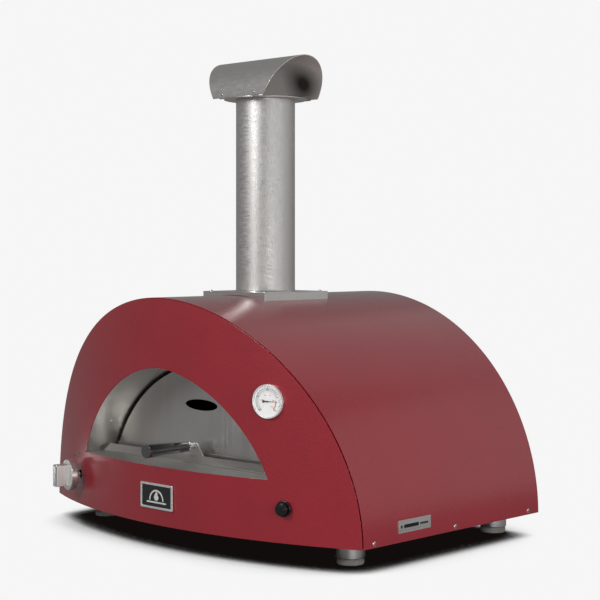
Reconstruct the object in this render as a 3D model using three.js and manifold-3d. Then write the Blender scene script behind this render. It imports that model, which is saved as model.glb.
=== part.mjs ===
// A gas-fired countertop pizza oven: an arched steel casing with a bowed front, a lift-out door,
// an insulated chamber on a tiled hearth, a side burner with its valve and igniter, and a chimney.
// Millimetres, +Z up. The origin is on the worktop, at the centre of the oven's footprint box.
// The front, with the mouth and the controls, faces -Y.

import * as THREE from 'three';
import { mergeVertices } from 'three/addons/utils/BufferGeometryUtils.js';
import Module from 'manifold-3d';

const wasm = await Module();
wasm.setup();

// ---------------------------------------------------------------- driving dimensions

const GAP = 0.3; // clearance left between pieces that touch
const SHEET = 2; // thickness of the folded sheet steel

// Casing: an arch that is straight for a short way above its bottom edge.
const HALF_WIDTH = 465;
const FRONT_Y = -223; // where the front edge meets the two sides
const BACK_Y = 333;
const UNDERSIDE_Z = 47;
const SPRING_Z = 55; // height where the arch starts to curve in
const CROWN_DROP = 15.3; // how much less the arch rises than its half width
const CROWN_Z = SPRING_Z + HALF_WIDTH - CROWN_DROP;
const ARCH_STEPS = 36;

// The front stands out in a shallow bow, part of one large upright cylinder.
const BOW_RISE = 101.4;
const BOW_RADIUS = (HALF_WIDTH ** 2 + BOW_RISE ** 2) / (2 * BOW_RISE);
const BOW_CENTRE_Y = FRONT_Y - BOW_RISE + BOW_RADIUS;
const BOW_STEPS = 16;

// Mouth in the front panel, and the collar and the door behind it.
const SILL_Z = 165.2;
const MOUTH = { halfWidth: 281.3, rise: 198.5, power: 1.4 };
const COLLAR = { halfWidth: 281.5, rise: 202.5, power: 1.1 };
const DOOR = { halfWidth: 274.8, rise: 194.2, power: 1.3 };
const DOOR_Y = FRONT_Y + 18;
const DOOR_THICKNESS = 3;
const DOOR_BOTTOM_Z = 167.4;
const VENT_Z = 280.6;
const VENT_HALF_WIDTH = 49;
const VENT_HALF_HEIGHT = 11.4;
const TAB_Y = FRONT_Y - 5;
const TAB_TOP_Z = 208;
const LIP_HALF_LENGTH = 272;
const LIP_TOP_Z = 179;
const HANDLE_Z = 198.3;
const HANDLE_END_Y = -355;

// Baking chamber.
const CHAMBER_HALF_WIDTH = 370;
const CHAMBER_RISE = 265;
const CHAMBER_STEPS = 26;
const CHAMBER_FRONT_Y = FRONT_Y + 30;
const CHAMBER_BACK_Y = FRONT_Y + 510;
const HEARTH_Z = 165;
const TRAY_Z = 131;
const TRAY_HALF_WIDTH = 404;
const PAN_Z = 49;

// Chimney.
const FLUE_Y = FRONT_Y + 204.6;
const PIPE_RADIUS = 63.9;
const PIPE_WALL = 1.8;
const SADDLE_HALF = 95.5;
const SADDLE_TOP_Z = 513.7;
const PIPE_BOTTOM_Z = 506.5;
const CAP_Z = 929.2;
const CAP_RADIUS = 82.4;
const CAP_TOP_Z = 1015;
const CAP_HALF_LENGTH = 78.3; // along its bottom edge
const CAP_SLANT = 0.544; // how far the open ends lean out, per millimetre of height
const CAP_DISC_RADIUS = 89.9;

// Controls and fittings on the front panel: where their axes cross it.
const KNOB = { x: -311, z: 113 };
const IGNITER = { x: 317, z: 113.5 };
const GAUGE = { x: 284, z: 315 };
const BADGE = { x: 0.5, z: 105.6 };

// Burner, on the left of the hearth.
const BURNER_X = -322;
const BURNER_Z = 186;
const ELECTRODE_X = -346;
const ELECTRODE_Z = 206;
const GAS_X = -345;
const GAS_Z = 72;
const INLET_END_Y = 355;

// Feet and side screws.
const FOOT_X = 374;
const FOOT_FRONT_Y = FRONT_Y + 67;
const FOOT_REAR_Y = FRONT_Y + 520;
const FOOT_RADIUS = 28.6;
const PAD_RADIUS = 26.75;
const PAD_HEIGHT = 11.9;
const SIDE_SCREW_Z = 54.9;
const SIDE_SCREW_YS = { front: FRONT_Y + 31.7, middle: FRONT_Y + 274, rear: FRONT_Y + 519.5 };

// ---------------------------------------------------------------- materials

const paint = (color, roughness, metalness) => () =>
  new THREE.MeshStandardMaterial({ color, roughness, metalness });

const redCoat = paint(0x8c1f2b, 0.45, 0.1);
const brushedSteel = paint(0xa9a6a2, 0.35, 1);
const plainSteel = paint(0x8f8d8a, 0.5, 1);
const chrome = paint(0xd8d8d8, 0.15, 1);
const brass = paint(0xb08d4a, 0.35, 1);
const blackPlastic = paint(0x161618, 0.4, 0);
const greyPlastic = paint(0x3a3a3c, 0.6, 0);
const ceramic = paint(0xe8e2d6, 0.7, 0);
const firebrick = paint(0xc7b59a, 0.9, 0);
const blanket = paint(0xe6e3da, 0.95, 0);
const dialWhite = paint(0xf5f5f2, 0.5, 0);
const clearGlass = paint(0xdfe9ee, 0.05, 0);
const leadRubber = paint(0x5a1512, 0.6, 0);

// ---------------------------------------------------------------- solids

// A closed geometry as a solid: shared vertices merged, folded-up faces dropped, faces pointing out.
function solid(geometry) {
  const bare = geometry.clone();
  for (const name of Object.keys(bare.attributes)) {
    if (name !== 'position') {
      bare.deleteAttribute(name);
    }
  }
  const merged = mergeVertices(bare, 1e-4);
  const position = merged.attributes.position;
  const index = merged.index.array;
  const corners = [0, 1, 2].map(() => new THREE.Vector3());
  const triangles = [];
  let volume = 0;
  for (let i = 0; i < index.length; i += 3) {
    const [a, b, c] = [index[i], index[i + 1], index[i + 2]];
    if (a === b || b === c || c === a) {
      continue;
    }
    triangles.push(a, b, c);
    corners.forEach((corner, k) => corner.fromBufferAttribute(position, index[i + k]));
    volume += corners[0].dot(corners[1].clone().cross(corners[2]));
  }
  if (volume < 0) {
    triangles.reverse();
  }
  return new wasm.Manifold(new wasm.Mesh({
    numProp: 3,
    vertProperties: new Float32Array(position.array),
    triVerts: new Uint32Array(triangles),
  }));
}

function toGeometry(manifold) {
  const mesh = manifold.getMesh();
  const geometry = new THREE.BufferGeometry();
  geometry.setAttribute('position', new THREE.BufferAttribute(mesh.vertProperties, 3));
  geometry.setIndex(new THREE.BufferAttribute(mesh.triVerts, 1));
  return geometry;
}

function cut(base, ...tools) {
  return toGeometry(tools.reduce((left, tool) => left.subtract(solid(tool)), solid(base)));
}

function join(base, ...others) {
  return toGeometry(others.reduce((sum, other) => sum.add(solid(other)), solid(base)));
}

function common(base, other) {
  return toGeometry(solid(base).intersect(solid(other)));
}

// A finished piece: one named mesh with its own material.
function piece(name, geometry, material) {
  const mesh = new THREE.Mesh(toGeometry(solid(geometry)), material());
  mesh.name = name;
  return mesh;
}

// ---------------------------------------------------------------- shape helpers

const point = (x, y) => new THREE.Vector2(x, y);

// A box from its limits along each axis.
function box(x0, x1, y0, y1, z0, z1) {
  const geometry = new THREE.BoxGeometry(x1 - x0, y1 - y0, z1 - z0);
  return geometry.translate((x0 + x1) / 2, (y0 + y1) / 2, (z0 + z1) / 2);
}

const flat = (shape, depth, curveSegments = 12) =>
  new THREE.ExtrudeGeometry(shape, { depth, bevelEnabled: false, curveSegments });

// A shape drawn in X and Y, made solid from z0 up to z1.
const extrudeZ = (shape, z0, z1) => flat(shape, z1 - z0).translate(0, 0, z0);

// A shape drawn in X and Z, made solid from y0 back to y1.
const extrudeY = (shape, y0, y1, curveSegments) =>
  flat(shape, y1 - y0, curveSegments).rotateX(Math.PI / 2).translate(0, y1, 0);

// A shape drawn in Y and Z, made solid from x0 across to x1.
const extrudeX = (shape, x0, x1) =>
  flat(shape, x1 - x0).rotateX(Math.PI / 2).rotateZ(Math.PI / 2).translate(x0, 0, 0);

// A turned piece from [radius, height] pairs. Its axis is +Y.
const turned = (profile, segments = 20) =>
  new THREE.LatheGeometry(profile.map(([radius, height]) => point(radius, height)), segments);

const turnedUp = (profile, segments) => turned(profile, segments).rotateX(Math.PI / 2);

// A turned piece that stands out of the front panel, towards -Y.
const turnedOut = (profile, segments) => turned(profile, segments).rotateX(Math.PI);

const rod = (radius, low, high) => [[0, low], [radius, low], [radius, high], [0, high]];

const tube = (outer, inner, low, high) =>
  [[inner, low], [outer, low], [outer, high], [inner, high], [inner, low]];

// A round section swept along a curve, hollow when it has an inner radius.
function swept(points, radius, steps, inner = 0, sides = 10) {
  const section = new THREE.Shape().absarc(0, 0, radius, 0, Math.PI * 2);
  if (inner > 0) {
    section.holes.push(new THREE.Path().absarc(0, 0, inner, 0, Math.PI * 2, true));
  }
  const extrudePath = new THREE.CatmullRomCurve3(points.map((p) => new THREE.Vector3(...p)), false,
    'catmullrom', 0.35);
  return new THREE.ExtrudeGeometry(section, { steps, extrudePath, curveSegments: sides / 2 });
}

// ---------------------------------------------------------------- casing outline

// Points of an arch from its right foot over the crown to its left foot.
function archPoints(radiusAt, centreZ, steps = ARCH_STEPS) {
  const points = [];
  for (let i = 0; i <= steps; i += 1) {
    const angle = (Math.PI * i) / steps;
    const radius = radiusAt(angle);
    points.push(point(radius * Math.cos(angle), centreZ + radius * Math.sin(angle)));
  }
  return points;
}

const shellRadius = (inset) => (angle) =>
  HALF_WIDTH - inset - CROWN_DROP * Math.sin(angle) ** 1.1;

// The casing's arch with its straight feet, moved in by inset.
function shellPoints(inset) {
  const foot = HALF_WIDTH - inset;
  const arch = archPoints(shellRadius(inset), SPRING_Z);
  return [point(foot, UNDERSIDE_Z), ...arch, point(-foot, UNDERSIDE_Z)];
}

// Height of the casing's outer surface above the worktop at a distance x from its middle.
function shellHeight(x) {
  const angle = Math.acos(x / (HALF_WIDTH - CROWN_DROP));
  return SPRING_Z + shellRadius(0)(angle) * Math.sin(angle);
}

// An opening's arch bulges towards its feet: wide at the sill, round at the crown.
const openingRadius = ({ halfWidth, rise, power }, grow = 0) => (angle) =>
  rise + grow + (halfWidth - rise) * (1 - Math.sin(angle)) ** power;

const openingPoints = (opening, grow, sillZ = SILL_Z) =>
  archPoints(openingRadius(opening, grow), sillZ, 28);

// The chamber's arch is half an ellipse on straight feet.
function chamberPoints(grow, bottomZ) {
  const points = [point(CHAMBER_HALF_WIDTH + grow, bottomZ)];
  for (let i = 0; i <= CHAMBER_STEPS; i += 1) {
    const angle = (Math.PI * i) / CHAMBER_STEPS;
    points.push(point((CHAMBER_HALF_WIDTH + grow) * Math.cos(angle),
      SILL_Z + (CHAMBER_RISE + grow) * Math.sin(angle)));
  }
  points.push(point(-CHAMBER_HALF_WIDTH - grow, bottomZ));
  return points;
}

// The band between two arches, open at the bottom.
const band = (outer, inner) => new THREE.Shape([...outer, ...inner.slice().reverse()]);

// Everything behind the bowed front, moved in by inset, as far as backY.
function planSolid(inset, backY) {
  const halfWidth = HALF_WIDTH + 5;
  const points = [];
  for (let i = 0; i <= BOW_STEPS; i += 1) {
    const x = -halfWidth + (2 * halfWidth * i) / BOW_STEPS;
    const radius = BOW_RADIUS - inset;
    points.push(point(x, BOW_CENTRE_Y - Math.sqrt(radius ** 2 - x ** 2)));
  }
  points.push(point(halfWidth, backY), point(-halfWidth, backY));
  return extrudeZ(new THREE.Shape(points), 0, CROWN_Z + 20);
}

// A group whose origin is on the front panel's outer face, with -Y as the way out of the panel.
function onPanel({ x, z }, ...pieces) {
  const group = new THREE.Group();
  group.position.set(x, BOW_CENTRE_Y - Math.sqrt(BOW_RADIUS ** 2 - x ** 2), z);
  group.rotation.z = Math.asin(x / BOW_RADIUS);
  pieces.forEach((part) => group.add(part));
  return group;
}

// A geometry drawn in such a group's own axes, moved to the casing's axes, for cutting holes.
function panelTool(place, geometry) {
  const group = onPanel(place);
  group.updateMatrix();
  return geometry.applyMatrix4(group.matrix);
}

const FORWARD_Y = FRONT_Y - BOW_RISE - 5; // just in front of the whole casing

// ---------------------------------------------------------------- casing

function sideScrewHoles() {
  const holes = [];
  for (const y of Object.values(SIDE_SCREW_YS)) {
    for (const side of [-1, 1]) {
      const hole = turned(rod(2.4, HALF_WIDTH - 8, HALF_WIDTH + 2), 10).rotateZ(-side * Math.PI / 2);
      holes.push(hole.translate(0, y, SIDE_SCREW_Z));
    }
  }
  return holes;
}

function outerShell() {
  const arch = extrudeY(band(shellPoints(0), shellPoints(SHEET)), FORWARD_Y, BACK_Y);
  const flueHole = turnedUp(rod(66, CROWN_Z - 30, CROWN_Z + 10), 32).translate(0, FLUE_Y, 0);
  return cut(common(arch, planSolid(0, BACK_Y)), flueHole, ...sideScrewHoles());
}

function frontPanel() {
  const face = extrudeY(new THREE.Shape(shellPoints(SHEET + GAP)), FORWARD_Y, FRONT_Y + 5);
  const sheet = cut(common(face, planSolid(0, BACK_Y)), planSolid(SHEET, BACK_Y + 5));
  const mouth = extrudeY(new THREE.Shape(openingPoints(MOUTH, 0)), FORWARD_Y, FRONT_Y + 10);
  const gaugeHole = panelTool(GAUGE, turnedOut(rod(27, -10, 10), 24));
  const stemHole = panelTool(KNOB, turnedOut(rod(9, -10, 10), 20));
  const igniterHole = panelTool(IGNITER, turnedOut(rod(11, -10, 10), 20));
  return cut(sheet, mouth, gaugeHole, stemHole, igniterHole);
}

function rearPanel() {
  const sheet = extrudeY(new THREE.Shape(shellPoints(SHEET + GAP)), BACK_Y - SHEET, BACK_Y);
  const inletHole = turned(rod(8.6, BACK_Y - 10, BACK_Y + 10)).translate(GAS_X, 0, GAS_Z);
  return cut(sheet, inletHole);
}

// The pan that closes the underside, with a turned-up flange along each side for the side screws.
function basePan() {
  const halfWidth = HALF_WIDTH - SHEET - GAP;
  const sheet = box(-halfWidth, halfWidth, FORWARD_Y, BACK_Y - SHEET - GAP, PAN_Z, PAN_Z + SHEET);
  const plate = common(sheet, planSolid(SHEET + GAP, BACK_Y));
  const face = halfWidth - 1;
  const flanges = [-1, 1].map((side) => {
    const [x0, x1] = [side * face, side * (face - SHEET)].sort((a, b) => a - b);
    return box(x0, x1, FRONT_Y + 12, BACK_Y - 6, PAN_Z, PAN_Z + 16);
  });
  return cut(join(plate, ...flanges), ...sideScrewHoles());
}

function sideScrew(name, side, y) {
  const profile = [[0, -6], [2, -6], [2, GAP], [5.6, GAP], [4.8, 2.2], [0, 3.2]];
  const geometry = turned(profile, 10).rotateZ(-side * Math.PI / 2);
  const screw = piece(name, geometry, chrome);
  screw.position.set(side * HALF_WIDTH, y, SIDE_SCREW_Z);
  return screw;
}

function casing() {
  const group = new THREE.Group();
  group.add(
    piece('outer_shell', outerShell(), redCoat),
    piece('front_panel', frontPanel(), redCoat),
    piece('rear_panel', rearPanel(), plainSteel),
    piece('base_pan', basePan(), plainSteel),
  );
  for (const [place, y] of Object.entries(SIDE_SCREW_YS)) {
    group.add(sideScrew(`side_screw_left_${place}`, -1, y));
    group.add(sideScrew(`side_screw_right_${place}`, 1, y));
  }
  const label = box(HALF_WIDTH + GAP, HALF_WIDTH + GAP + 2, FRONT_Y + 100.5, FRONT_Y + 197, 64.2, 88.5);
  group.add(piece('side_label', label, brushedSteel));
  return group;
}

// ---------------------------------------------------------------- feet

// Each foot is a sleeve under the pan and a pad whose stud screws up into it.
function feet() {
  const group = new THREE.Group();
  const sleeve = [
    [8.4, PAD_HEIGHT + GAP], [FOOT_RADIUS, PAD_HEIGHT + GAP], [FOOT_RADIUS, PAN_Z - GAP],
    [0, PAN_Z - GAP], [0, 44], [8.4, 44], [8.4, PAD_HEIGHT + GAP],
  ];
  const pad = [
    [0, 0], [PAD_RADIUS, 0], [PAD_RADIUS, PAD_HEIGHT - 2], [PAD_RADIUS - 2, PAD_HEIGHT - 2],
    [PAD_RADIUS - 2, PAD_HEIGHT], [8, PAD_HEIGHT], [8, 40], [0, 40],
  ];
  for (const [row, y] of [['front', FOOT_FRONT_Y], ['rear', FOOT_REAR_Y]]) {
    for (const [side, x] of [['left', -FOOT_X], ['right', FOOT_X]]) {
      const foot = new THREE.Group();
      foot.position.set(x, y, 0);
      foot.add(
        piece(`foot_sleeve_${row}_${side}`, turnedUp(sleeve, 20), brushedSteel),
        piece(`foot_pad_${row}_${side}`, turnedUp(pad, 20), plainSteel),
      );
      group.add(foot);
    }
  }
  return group;
}

// ---------------------------------------------------------------- mouth and chamber

// The stainless collar runs back from the mouth to the chamber's front wall, welded to it.
function mouthCollar() {
  const legs = (grow) => {
    const points = openingPoints(COLLAR, grow);
    const foot = points[0].x;
    return [point(foot, SILL_Z - SHEET), ...points, point(-foot, SILL_Z - SHEET)];
  };
  const tunnel = extrudeY(band(legs(1.6), legs(0)), FORWARD_Y, CHAMBER_FRONT_Y + 1);
  const wall = extrudeY(new THREE.Shape(chamberPoints(0, TRAY_Z + SHEET + GAP)),
    CHAMBER_FRONT_Y, CHAMBER_FRONT_Y + SHEET);
  const opening = extrudeY(new THREE.Shape(legs(0)), CHAMBER_FRONT_Y - 5, CHAMBER_FRONT_Y + 5);
  const probeHole = panelTool(GAUGE, turnedOut(rod(6, -130, -60)));
  const burnerHole = turned(rod(15, CHAMBER_FRONT_Y - 5, CHAMBER_FRONT_Y + 5));
  const electrodeHole = turned(rod(4.6, CHAMBER_FRONT_Y - 5, CHAMBER_FRONT_Y + 5));
  return cut(
    join(common(tunnel, planSolid(SHEET + GAP, BACK_Y)), cut(wall, opening)),
    probeHole,
    burnerHole.translate(BURNER_X, 0, BURNER_Z),
    electrodeHole.translate(ELECTRODE_X, 0, ELECTRODE_Z),
  );
}

// The steel landing between the front panel and the hearth, with its edge behind the panel.
function landingPlate() {
  const halfWidth = COLLAR.halfWidth - GAP;
  const backY = CHAMBER_FRONT_Y + SHEET + GAP;
  const sheet = box(-halfWidth, halfWidth, FORWARD_Y, backY, SILL_Z - SHEET, SILL_Z);
  return common(sheet, planSolid(SHEET + GAP, BACK_Y));
}

function chamberDome() {
  const footZ = TRAY_Z + SHEET + GAP;
  const arch = band(chamberPoints(0, footZ), chamberPoints(-SHEET, footZ));
  const flueHole = turnedUp(rod(59, HEARTH_Z + CHAMBER_RISE - 40, CROWN_Z), 28).translate(0, FLUE_Y, 0);
  return cut(extrudeY(arch, CHAMBER_FRONT_Y + SHEET + GAP, CHAMBER_BACK_Y), flueHole);
}

// Everything inside the casing from the hearth tray up, between y0 and y1.
function aboveTray(y0, y1) {
  const inside = extrudeY(new THREE.Shape(shellPoints(SHEET + 2 * GAP)), y0, y1);
  const trayTop = TRAY_Z + SHEET + 2 * GAP;
  return common(inside, box(-HALF_WIDTH, HALF_WIDTH, y0 - 1, y1 + 1, trayTop, CROWN_Z));
}

function domeInsulation() {
  const dome = new THREE.Shape(chamberPoints(2 * GAP, TRAY_Z));
  const hollow = extrudeY(dome, CHAMBER_FRONT_Y - 5, CHAMBER_BACK_Y + 5);
  const flueHole = turnedUp(rod(66, HEARTH_Z + CHAMBER_RISE - 40, CROWN_Z + 10), 28);
  return cut(aboveTray(CHAMBER_FRONT_Y, CHAMBER_BACK_Y + SHEET), hollow, flueHole.translate(0, FLUE_Y, 0));
}

const rearInsulation = () =>
  aboveTray(CHAMBER_BACK_Y + SHEET + 2 * GAP, BACK_Y - SHEET - GAP);

// A channel rail that carries the hearth tray, its flanges turned outwards.
function supportRail(side) {
  const [web, edge] = [TRAY_HALF_WIDTH - 28, TRAY_HALF_WIDTH];
  const [low, high] = [PAN_Z + SHEET + GAP, TRAY_Z - GAP];
  const outline = [
    point(edge, low), point(edge, low + SHEET), point(web + SHEET, low + SHEET),
    point(web + SHEET, high - SHEET), point(edge, high - SHEET), point(edge, high),
    point(web, high), point(web, low),
  ].map((p) => point(side * p.x, p.y));
  return extrudeY(new THREE.Shape(outline), FRONT_Y + 36, CHAMBER_BACK_Y);
}

function chamber() {
  const group = new THREE.Group();
  const tray = box(-TRAY_HALF_WIDTH, TRAY_HALF_WIDTH, CHAMBER_FRONT_Y, CHAMBER_BACK_Y + 20,
    TRAY_Z, TRAY_Z + SHEET);
  const back = extrudeY(new THREE.Shape(chamberPoints(0, TRAY_Z + SHEET + GAP)),
    CHAMBER_BACK_Y + GAP, CHAMBER_BACK_Y + SHEET);
  const slab = box(-TRAY_HALF_WIDTH + 29, TRAY_HALF_WIDTH - 29, FRONT_Y + 36, CHAMBER_BACK_Y,
    TRAY_Z - 37, TRAY_Z - GAP);
  group.add(
    piece('mouth_collar', mouthCollar(), brushedSteel),
    piece('landing_plate', landingPlate(), brushedSteel),
    piece('chamber_dome', chamberDome(), plainSteel),
    piece('chamber_back', back, plainSteel),
    piece('hearth_tray', tray, plainSteel),
    piece('dome_insulation', domeInsulation(), blanket),
    piece('rear_insulation', rearInsulation(), blanket),
    piece('floor_insulation', slab, blanket),
  );
  for (const [name, side] of [['left', -1], ['right', 1]]) {
    group.add(piece(`support_rail_${name}`, supportRail(side), plainSteel));
    const [x0, x1] = [side * GAP, side * (CHAMBER_HALF_WIDTH - SHEET - 2)].sort((a, b) => a - b);
    const tile = box(x0, x1, CHAMBER_FRONT_Y + SHEET + 3 * GAP, CHAMBER_BACK_Y - GAP,
      TRAY_Z + SHEET + GAP, HEARTH_Z);
    group.add(piece(`hearth_tile_${name}`, tile, firebrick));
  }
  return group;
}

// ---------------------------------------------------------------- door

function doorPlate() {
  const outline = new THREE.Shape(openingPoints(DOOR, 0, DOOR_BOTTOM_Z));
  const vent = new THREE.Path().absellipse(0, VENT_Z, VENT_HALF_WIDTH, VENT_HALF_HEIGHT,
    0, Math.PI * 2, true);
  outline.holes.push(vent);
  return extrudeY(outline, DOOR_Y, DOOR_Y + DOOR_THICKNESS, 20);
}

// The folded strip that the door stands on: a web on the plate, a foot flange, a sloping face, and
// a tab in the middle that carries the handle.
function doorLipBracket() {
  const sheet = 1.6;
  const webY = DOOR_Y - GAP;
  const footZ = SILL_Z + GAP;
  const toeY = FRONT_Y - 22;
  const fold = new THREE.Shape([
    point(webY, 182), point(webY - sheet, 182), point(webY - sheet, footZ + sheet),
    point(toeY + 4.5, footZ + sheet), point(TAB_Y + sheet, LIP_TOP_Z - 1), point(TAB_Y + sheet, LIP_TOP_Z),
    point(TAB_Y, LIP_TOP_Z), point(toeY, footZ + sheet), point(toeY, footZ), point(webY, footZ),
  ]);
  const tab = new THREE.Shape();
  tab.moveTo(42, LIP_TOP_Z - 0.8);
  tab.bezierCurveTo(27, LIP_TOP_Z + 2, 25, LIP_TOP_Z + 9, 23.5, LIP_TOP_Z + 16);
  tab.quadraticCurveTo(20, TAB_TOP_Z, 6, TAB_TOP_Z);
  tab.lineTo(-6, TAB_TOP_Z);
  tab.quadraticCurveTo(-20, TAB_TOP_Z, -23.5, LIP_TOP_Z + 16);
  tab.bezierCurveTo(-25, LIP_TOP_Z + 9, -27, LIP_TOP_Z + 2, -42, LIP_TOP_Z - 0.8);
  return join(
    extrudeX(fold, -LIP_HALF_LENGTH, LIP_HALF_LENGTH),
    extrudeY(tab, TAB_Y, TAB_Y + sheet, 8),
  );
}

function door() {
  const group = new THREE.Group();
  group.add(
    piece('door_plate', doorPlate(), brushedSteel),
    piece('door_lip_bracket', doorLipBracket(), brushedSteel),
  );
  // The handle's own axis starts at the tab and runs out towards -Y.
  const reach = TAB_Y - HANDLE_END_Y;
  const ring = [[0, GAP], [6, GAP], [6, 13], [10.7, 13], [10.7, 17], [4, 17], [4, 40], [0, 40]];
  const grip = [[4.3, 17.3], [10.1, 17.3], [13.6, reach - 2.3], [0, reach - 2.3], [0, 41], [4.3, 41],
    [4.3, 17.3]];
  const cap = rod(13.4, reach - 2, reach);
  const handle = new THREE.Group();
  handle.position.set(0, TAB_Y, HANDLE_Z);
  handle.add(
    piece('door_handle_ring', turnedOut(ring, 20), chrome),
    piece('door_handle', turnedOut(grip, 20), blackPlastic),
    piece('door_handle_cap', turnedOut(cap, 20), greyPlastic),
  );
  group.add(handle);
  return group;
}

// ---------------------------------------------------------------- controls

// The gas valve with its stem, the sprung plunger behind the stem, and the knob on it.
function gasControl() {
  const block = box(-21, 21, 14, 58, -20, 20);
  const stemBore = turnedOut(rod(5, -22, 0));
  const plungerBore = turnedOut(rod(8.2, -46, -20));
  const valve = cut(block, stemBore, plungerBore);
  const disc = rod(33.5, 17, 31.5);
  const bar = new THREE.Shape();
  bar.moveTo(-11, 31);
  bar.lineTo(-11, 58.5);
  bar.quadraticCurveTo(-11, 60.5, -9, 60.5);
  bar.lineTo(9, 60.5);
  bar.quadraticCurveTo(11, 60.5, 11, 58.5);
  bar.lineTo(11, 31);
  // Drawn across the knob and out from it, the bar is then stood along the knob's height.
  const grip = flat(bar, 46.5, 4).translate(0, 0, -23.25).rotateX(Math.PI);
  const knob = cut(join(turnedOut(disc, 40), grip), turnedOut(rod(4.8, 10, 27)));
  return onPanel(KNOB,
    piece('gas_valve_body', valve, brass),
    piece('valve_plunger', turnedOut(rod(7.8, -40, -24)), brass),
    piece('valve_stem', turnedOut(rod(4.5, -23.7, 26.7)), chrome),
    piece('control_knob', knob, brushedSteel),
  );
}

function igniter() {
  const housing = [
    [0, -42], [10.6, -42], [10.6, GAP], [15.5, GAP], [15.5, 7], [12.8, 7], [12.8, 1.6], [6.5, 1.6],
    [6.5, -14], [0, -14],
  ];
  const button = [[0, -6], [6, -6], [6, 7.2], [12.3, 7.2], [12.3, 17], [8, 17], [8, 17.6], [0, 17.6]];
  return onPanel(IGNITER,
    piece('igniter_housing', turnedOut(housing, 20), blackPlastic),
    piece('igniter_button', turnedOut(button, 20), blackPlastic),
  );
}

// A dial thermometer: its probe runs back through the chamber's front wall.
function gauge() {
  const casePiece = [
    [0, -128], [4, -128], [4, -22], [26, -22], [26, GAP], [32.6, GAP], [32.6, 8], [30.4, 8],
    [30.4, 4.4], [0, 4.4],
  ];
  const needle = new THREE.Shape([
    point(-11, -3.2), point(-3, -1.2), point(-1.4, -2), point(1.4, -2), point(3, -0.9), point(23, -0.25),
    point(23, 0.25), point(3, 0.9), point(1.4, 2), point(-1.4, 2), point(-3, 1.2), point(-11, 3.2),
  ]);
  return onPanel(GAUGE,
    piece('gauge_case', turnedOut(casePiece, 28), chrome),
    piece('gauge_dial', turnedOut(rod(30, 4.7, 5.2), 28), dialWhite),
    piece('gauge_needle', extrudeY(needle, -6.1, -5.5), blackPlastic),
    piece('gauge_glass', turnedOut(rod(30, 6.8, 7.5), 28), clearGlass),
  );
}

function badge() {
  const [halfWidth, halfHeight, rim] = [49.2, 25.8, 4.6];
  const outer = box(-halfWidth, halfWidth, -4, -GAP, -halfHeight, halfHeight);
  const window = box(-halfWidth + rim, halfWidth - rim, -10, 10, -halfHeight + rim, halfHeight - rim);
  const inset = rim + GAP;
  const plate = box(-halfWidth + inset, halfWidth - inset, -2.6, -GAP,
    -halfHeight + inset, halfHeight - inset);
  return onPanel(BADGE,
    piece('badge_frame', cut(outer, window), brushedSteel),
    piece('badge_plate', plate, blackPlastic),
  );
}

// ---------------------------------------------------------------- burner and gas line

function burner() {
  const group = new THREE.Group();
  const start = CHAMBER_FRONT_Y - 4;
  const length = 400;
  const body = [[12, start], [14, start], [14, start + length], [0, start + length],
    [0, start + length - 2], [12, start + length - 2], [12, start]];
  const portSlot = box(8, 18, start + 40, start + length - 30, 2, 6);
  const burnerTube = cut(turned(body, 20), portSlot).translate(BURNER_X, 0, BURNER_Z);
  const mixerStart = [-300, FRONT_Y - 20, KNOB.z + 20 + GAP];
  const mixer = swept([
    mixerStart, [-300, FRONT_Y - 20, 160], [-308, FRONT_Y - 8, 180], [BURNER_X, FRONT_Y + 16, BURNER_Z],
    [BURNER_X, CHAMBER_FRONT_Y + 8, BURNER_Z],
  ], 11.2, 14, 9, 10);
  const guard = new THREE.Shape([
    point(-296, HEARTH_Z + GAP), point(-286, HEARTH_Z + GAP), point(-286, HEARTH_Z + 2 + GAP),
    point(-294.4, HEARTH_Z + 2 + GAP), point(-304, HEARTH_Z + 48), point(-306, HEARTH_Z + 47.4),
  ]);
  const supply = swept([
    [GAS_X, BACK_Y - 26 - GAP, GAS_Z], [GAS_X, 0, GAS_Z], [GAS_X, FRONT_Y + 60, GAS_Z],
    [-330, FRONT_Y + 5, GAS_Z - 4], [-309, FRONT_Y - 20, GAS_Z], [-309, FRONT_Y - 24, KNOB.z - 30],
    [-309, FRONT_Y - 24, KNOB.z - 20.5],
  ], 5, 26, 0, 8);
  const inlet = [
    [0, BACK_Y - 26], [8, BACK_Y - 26], [8, BACK_Y + GAP], [13, BACK_Y + GAP], [13, BACK_Y + 6],
    [7, BACK_Y + 6], [6.2, BACK_Y + 8], [7, BACK_Y + 14], [6.2, BACK_Y + 14], [7, INLET_END_Y - 1],
    [6, INLET_END_Y], [4, INLET_END_Y], [4, BACK_Y - 20], [0, BACK_Y - 20],
  ];
  const electrode = [
    [0, CHAMBER_FRONT_Y - 22], [1.2, CHAMBER_FRONT_Y - 22], [1.2, CHAMBER_FRONT_Y - 15],
    [4, CHAMBER_FRONT_Y - 15], [4, CHAMBER_FRONT_Y + 30], [1.2, CHAMBER_FRONT_Y + 30],
    [1.2, CHAMBER_FRONT_Y + 44], [0, CHAMBER_FRONT_Y + 44],
  ];
  group.add(
    piece('burner_tube', burnerTube, plainSteel),
    piece('burner_guard', extrudeY(guard, CHAMBER_FRONT_Y + 20, CHAMBER_FRONT_Y + 410), plainSteel),
    piece('mixing_tube', mixer, plainSteel),
    piece('gas_supply_pipe', supply, brass),
    piece('gas_inlet_fitting', turned(inlet, 20).translate(GAS_X, 0, GAS_Z), brass),
    piece('spark_electrode', turned(electrode, 12).translate(ELECTRODE_X, 0, ELECTRODE_Z), ceramic),
    piece('ignition_lead', ignitionLead(), leadRubber),
  );
  return group;
}

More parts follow.
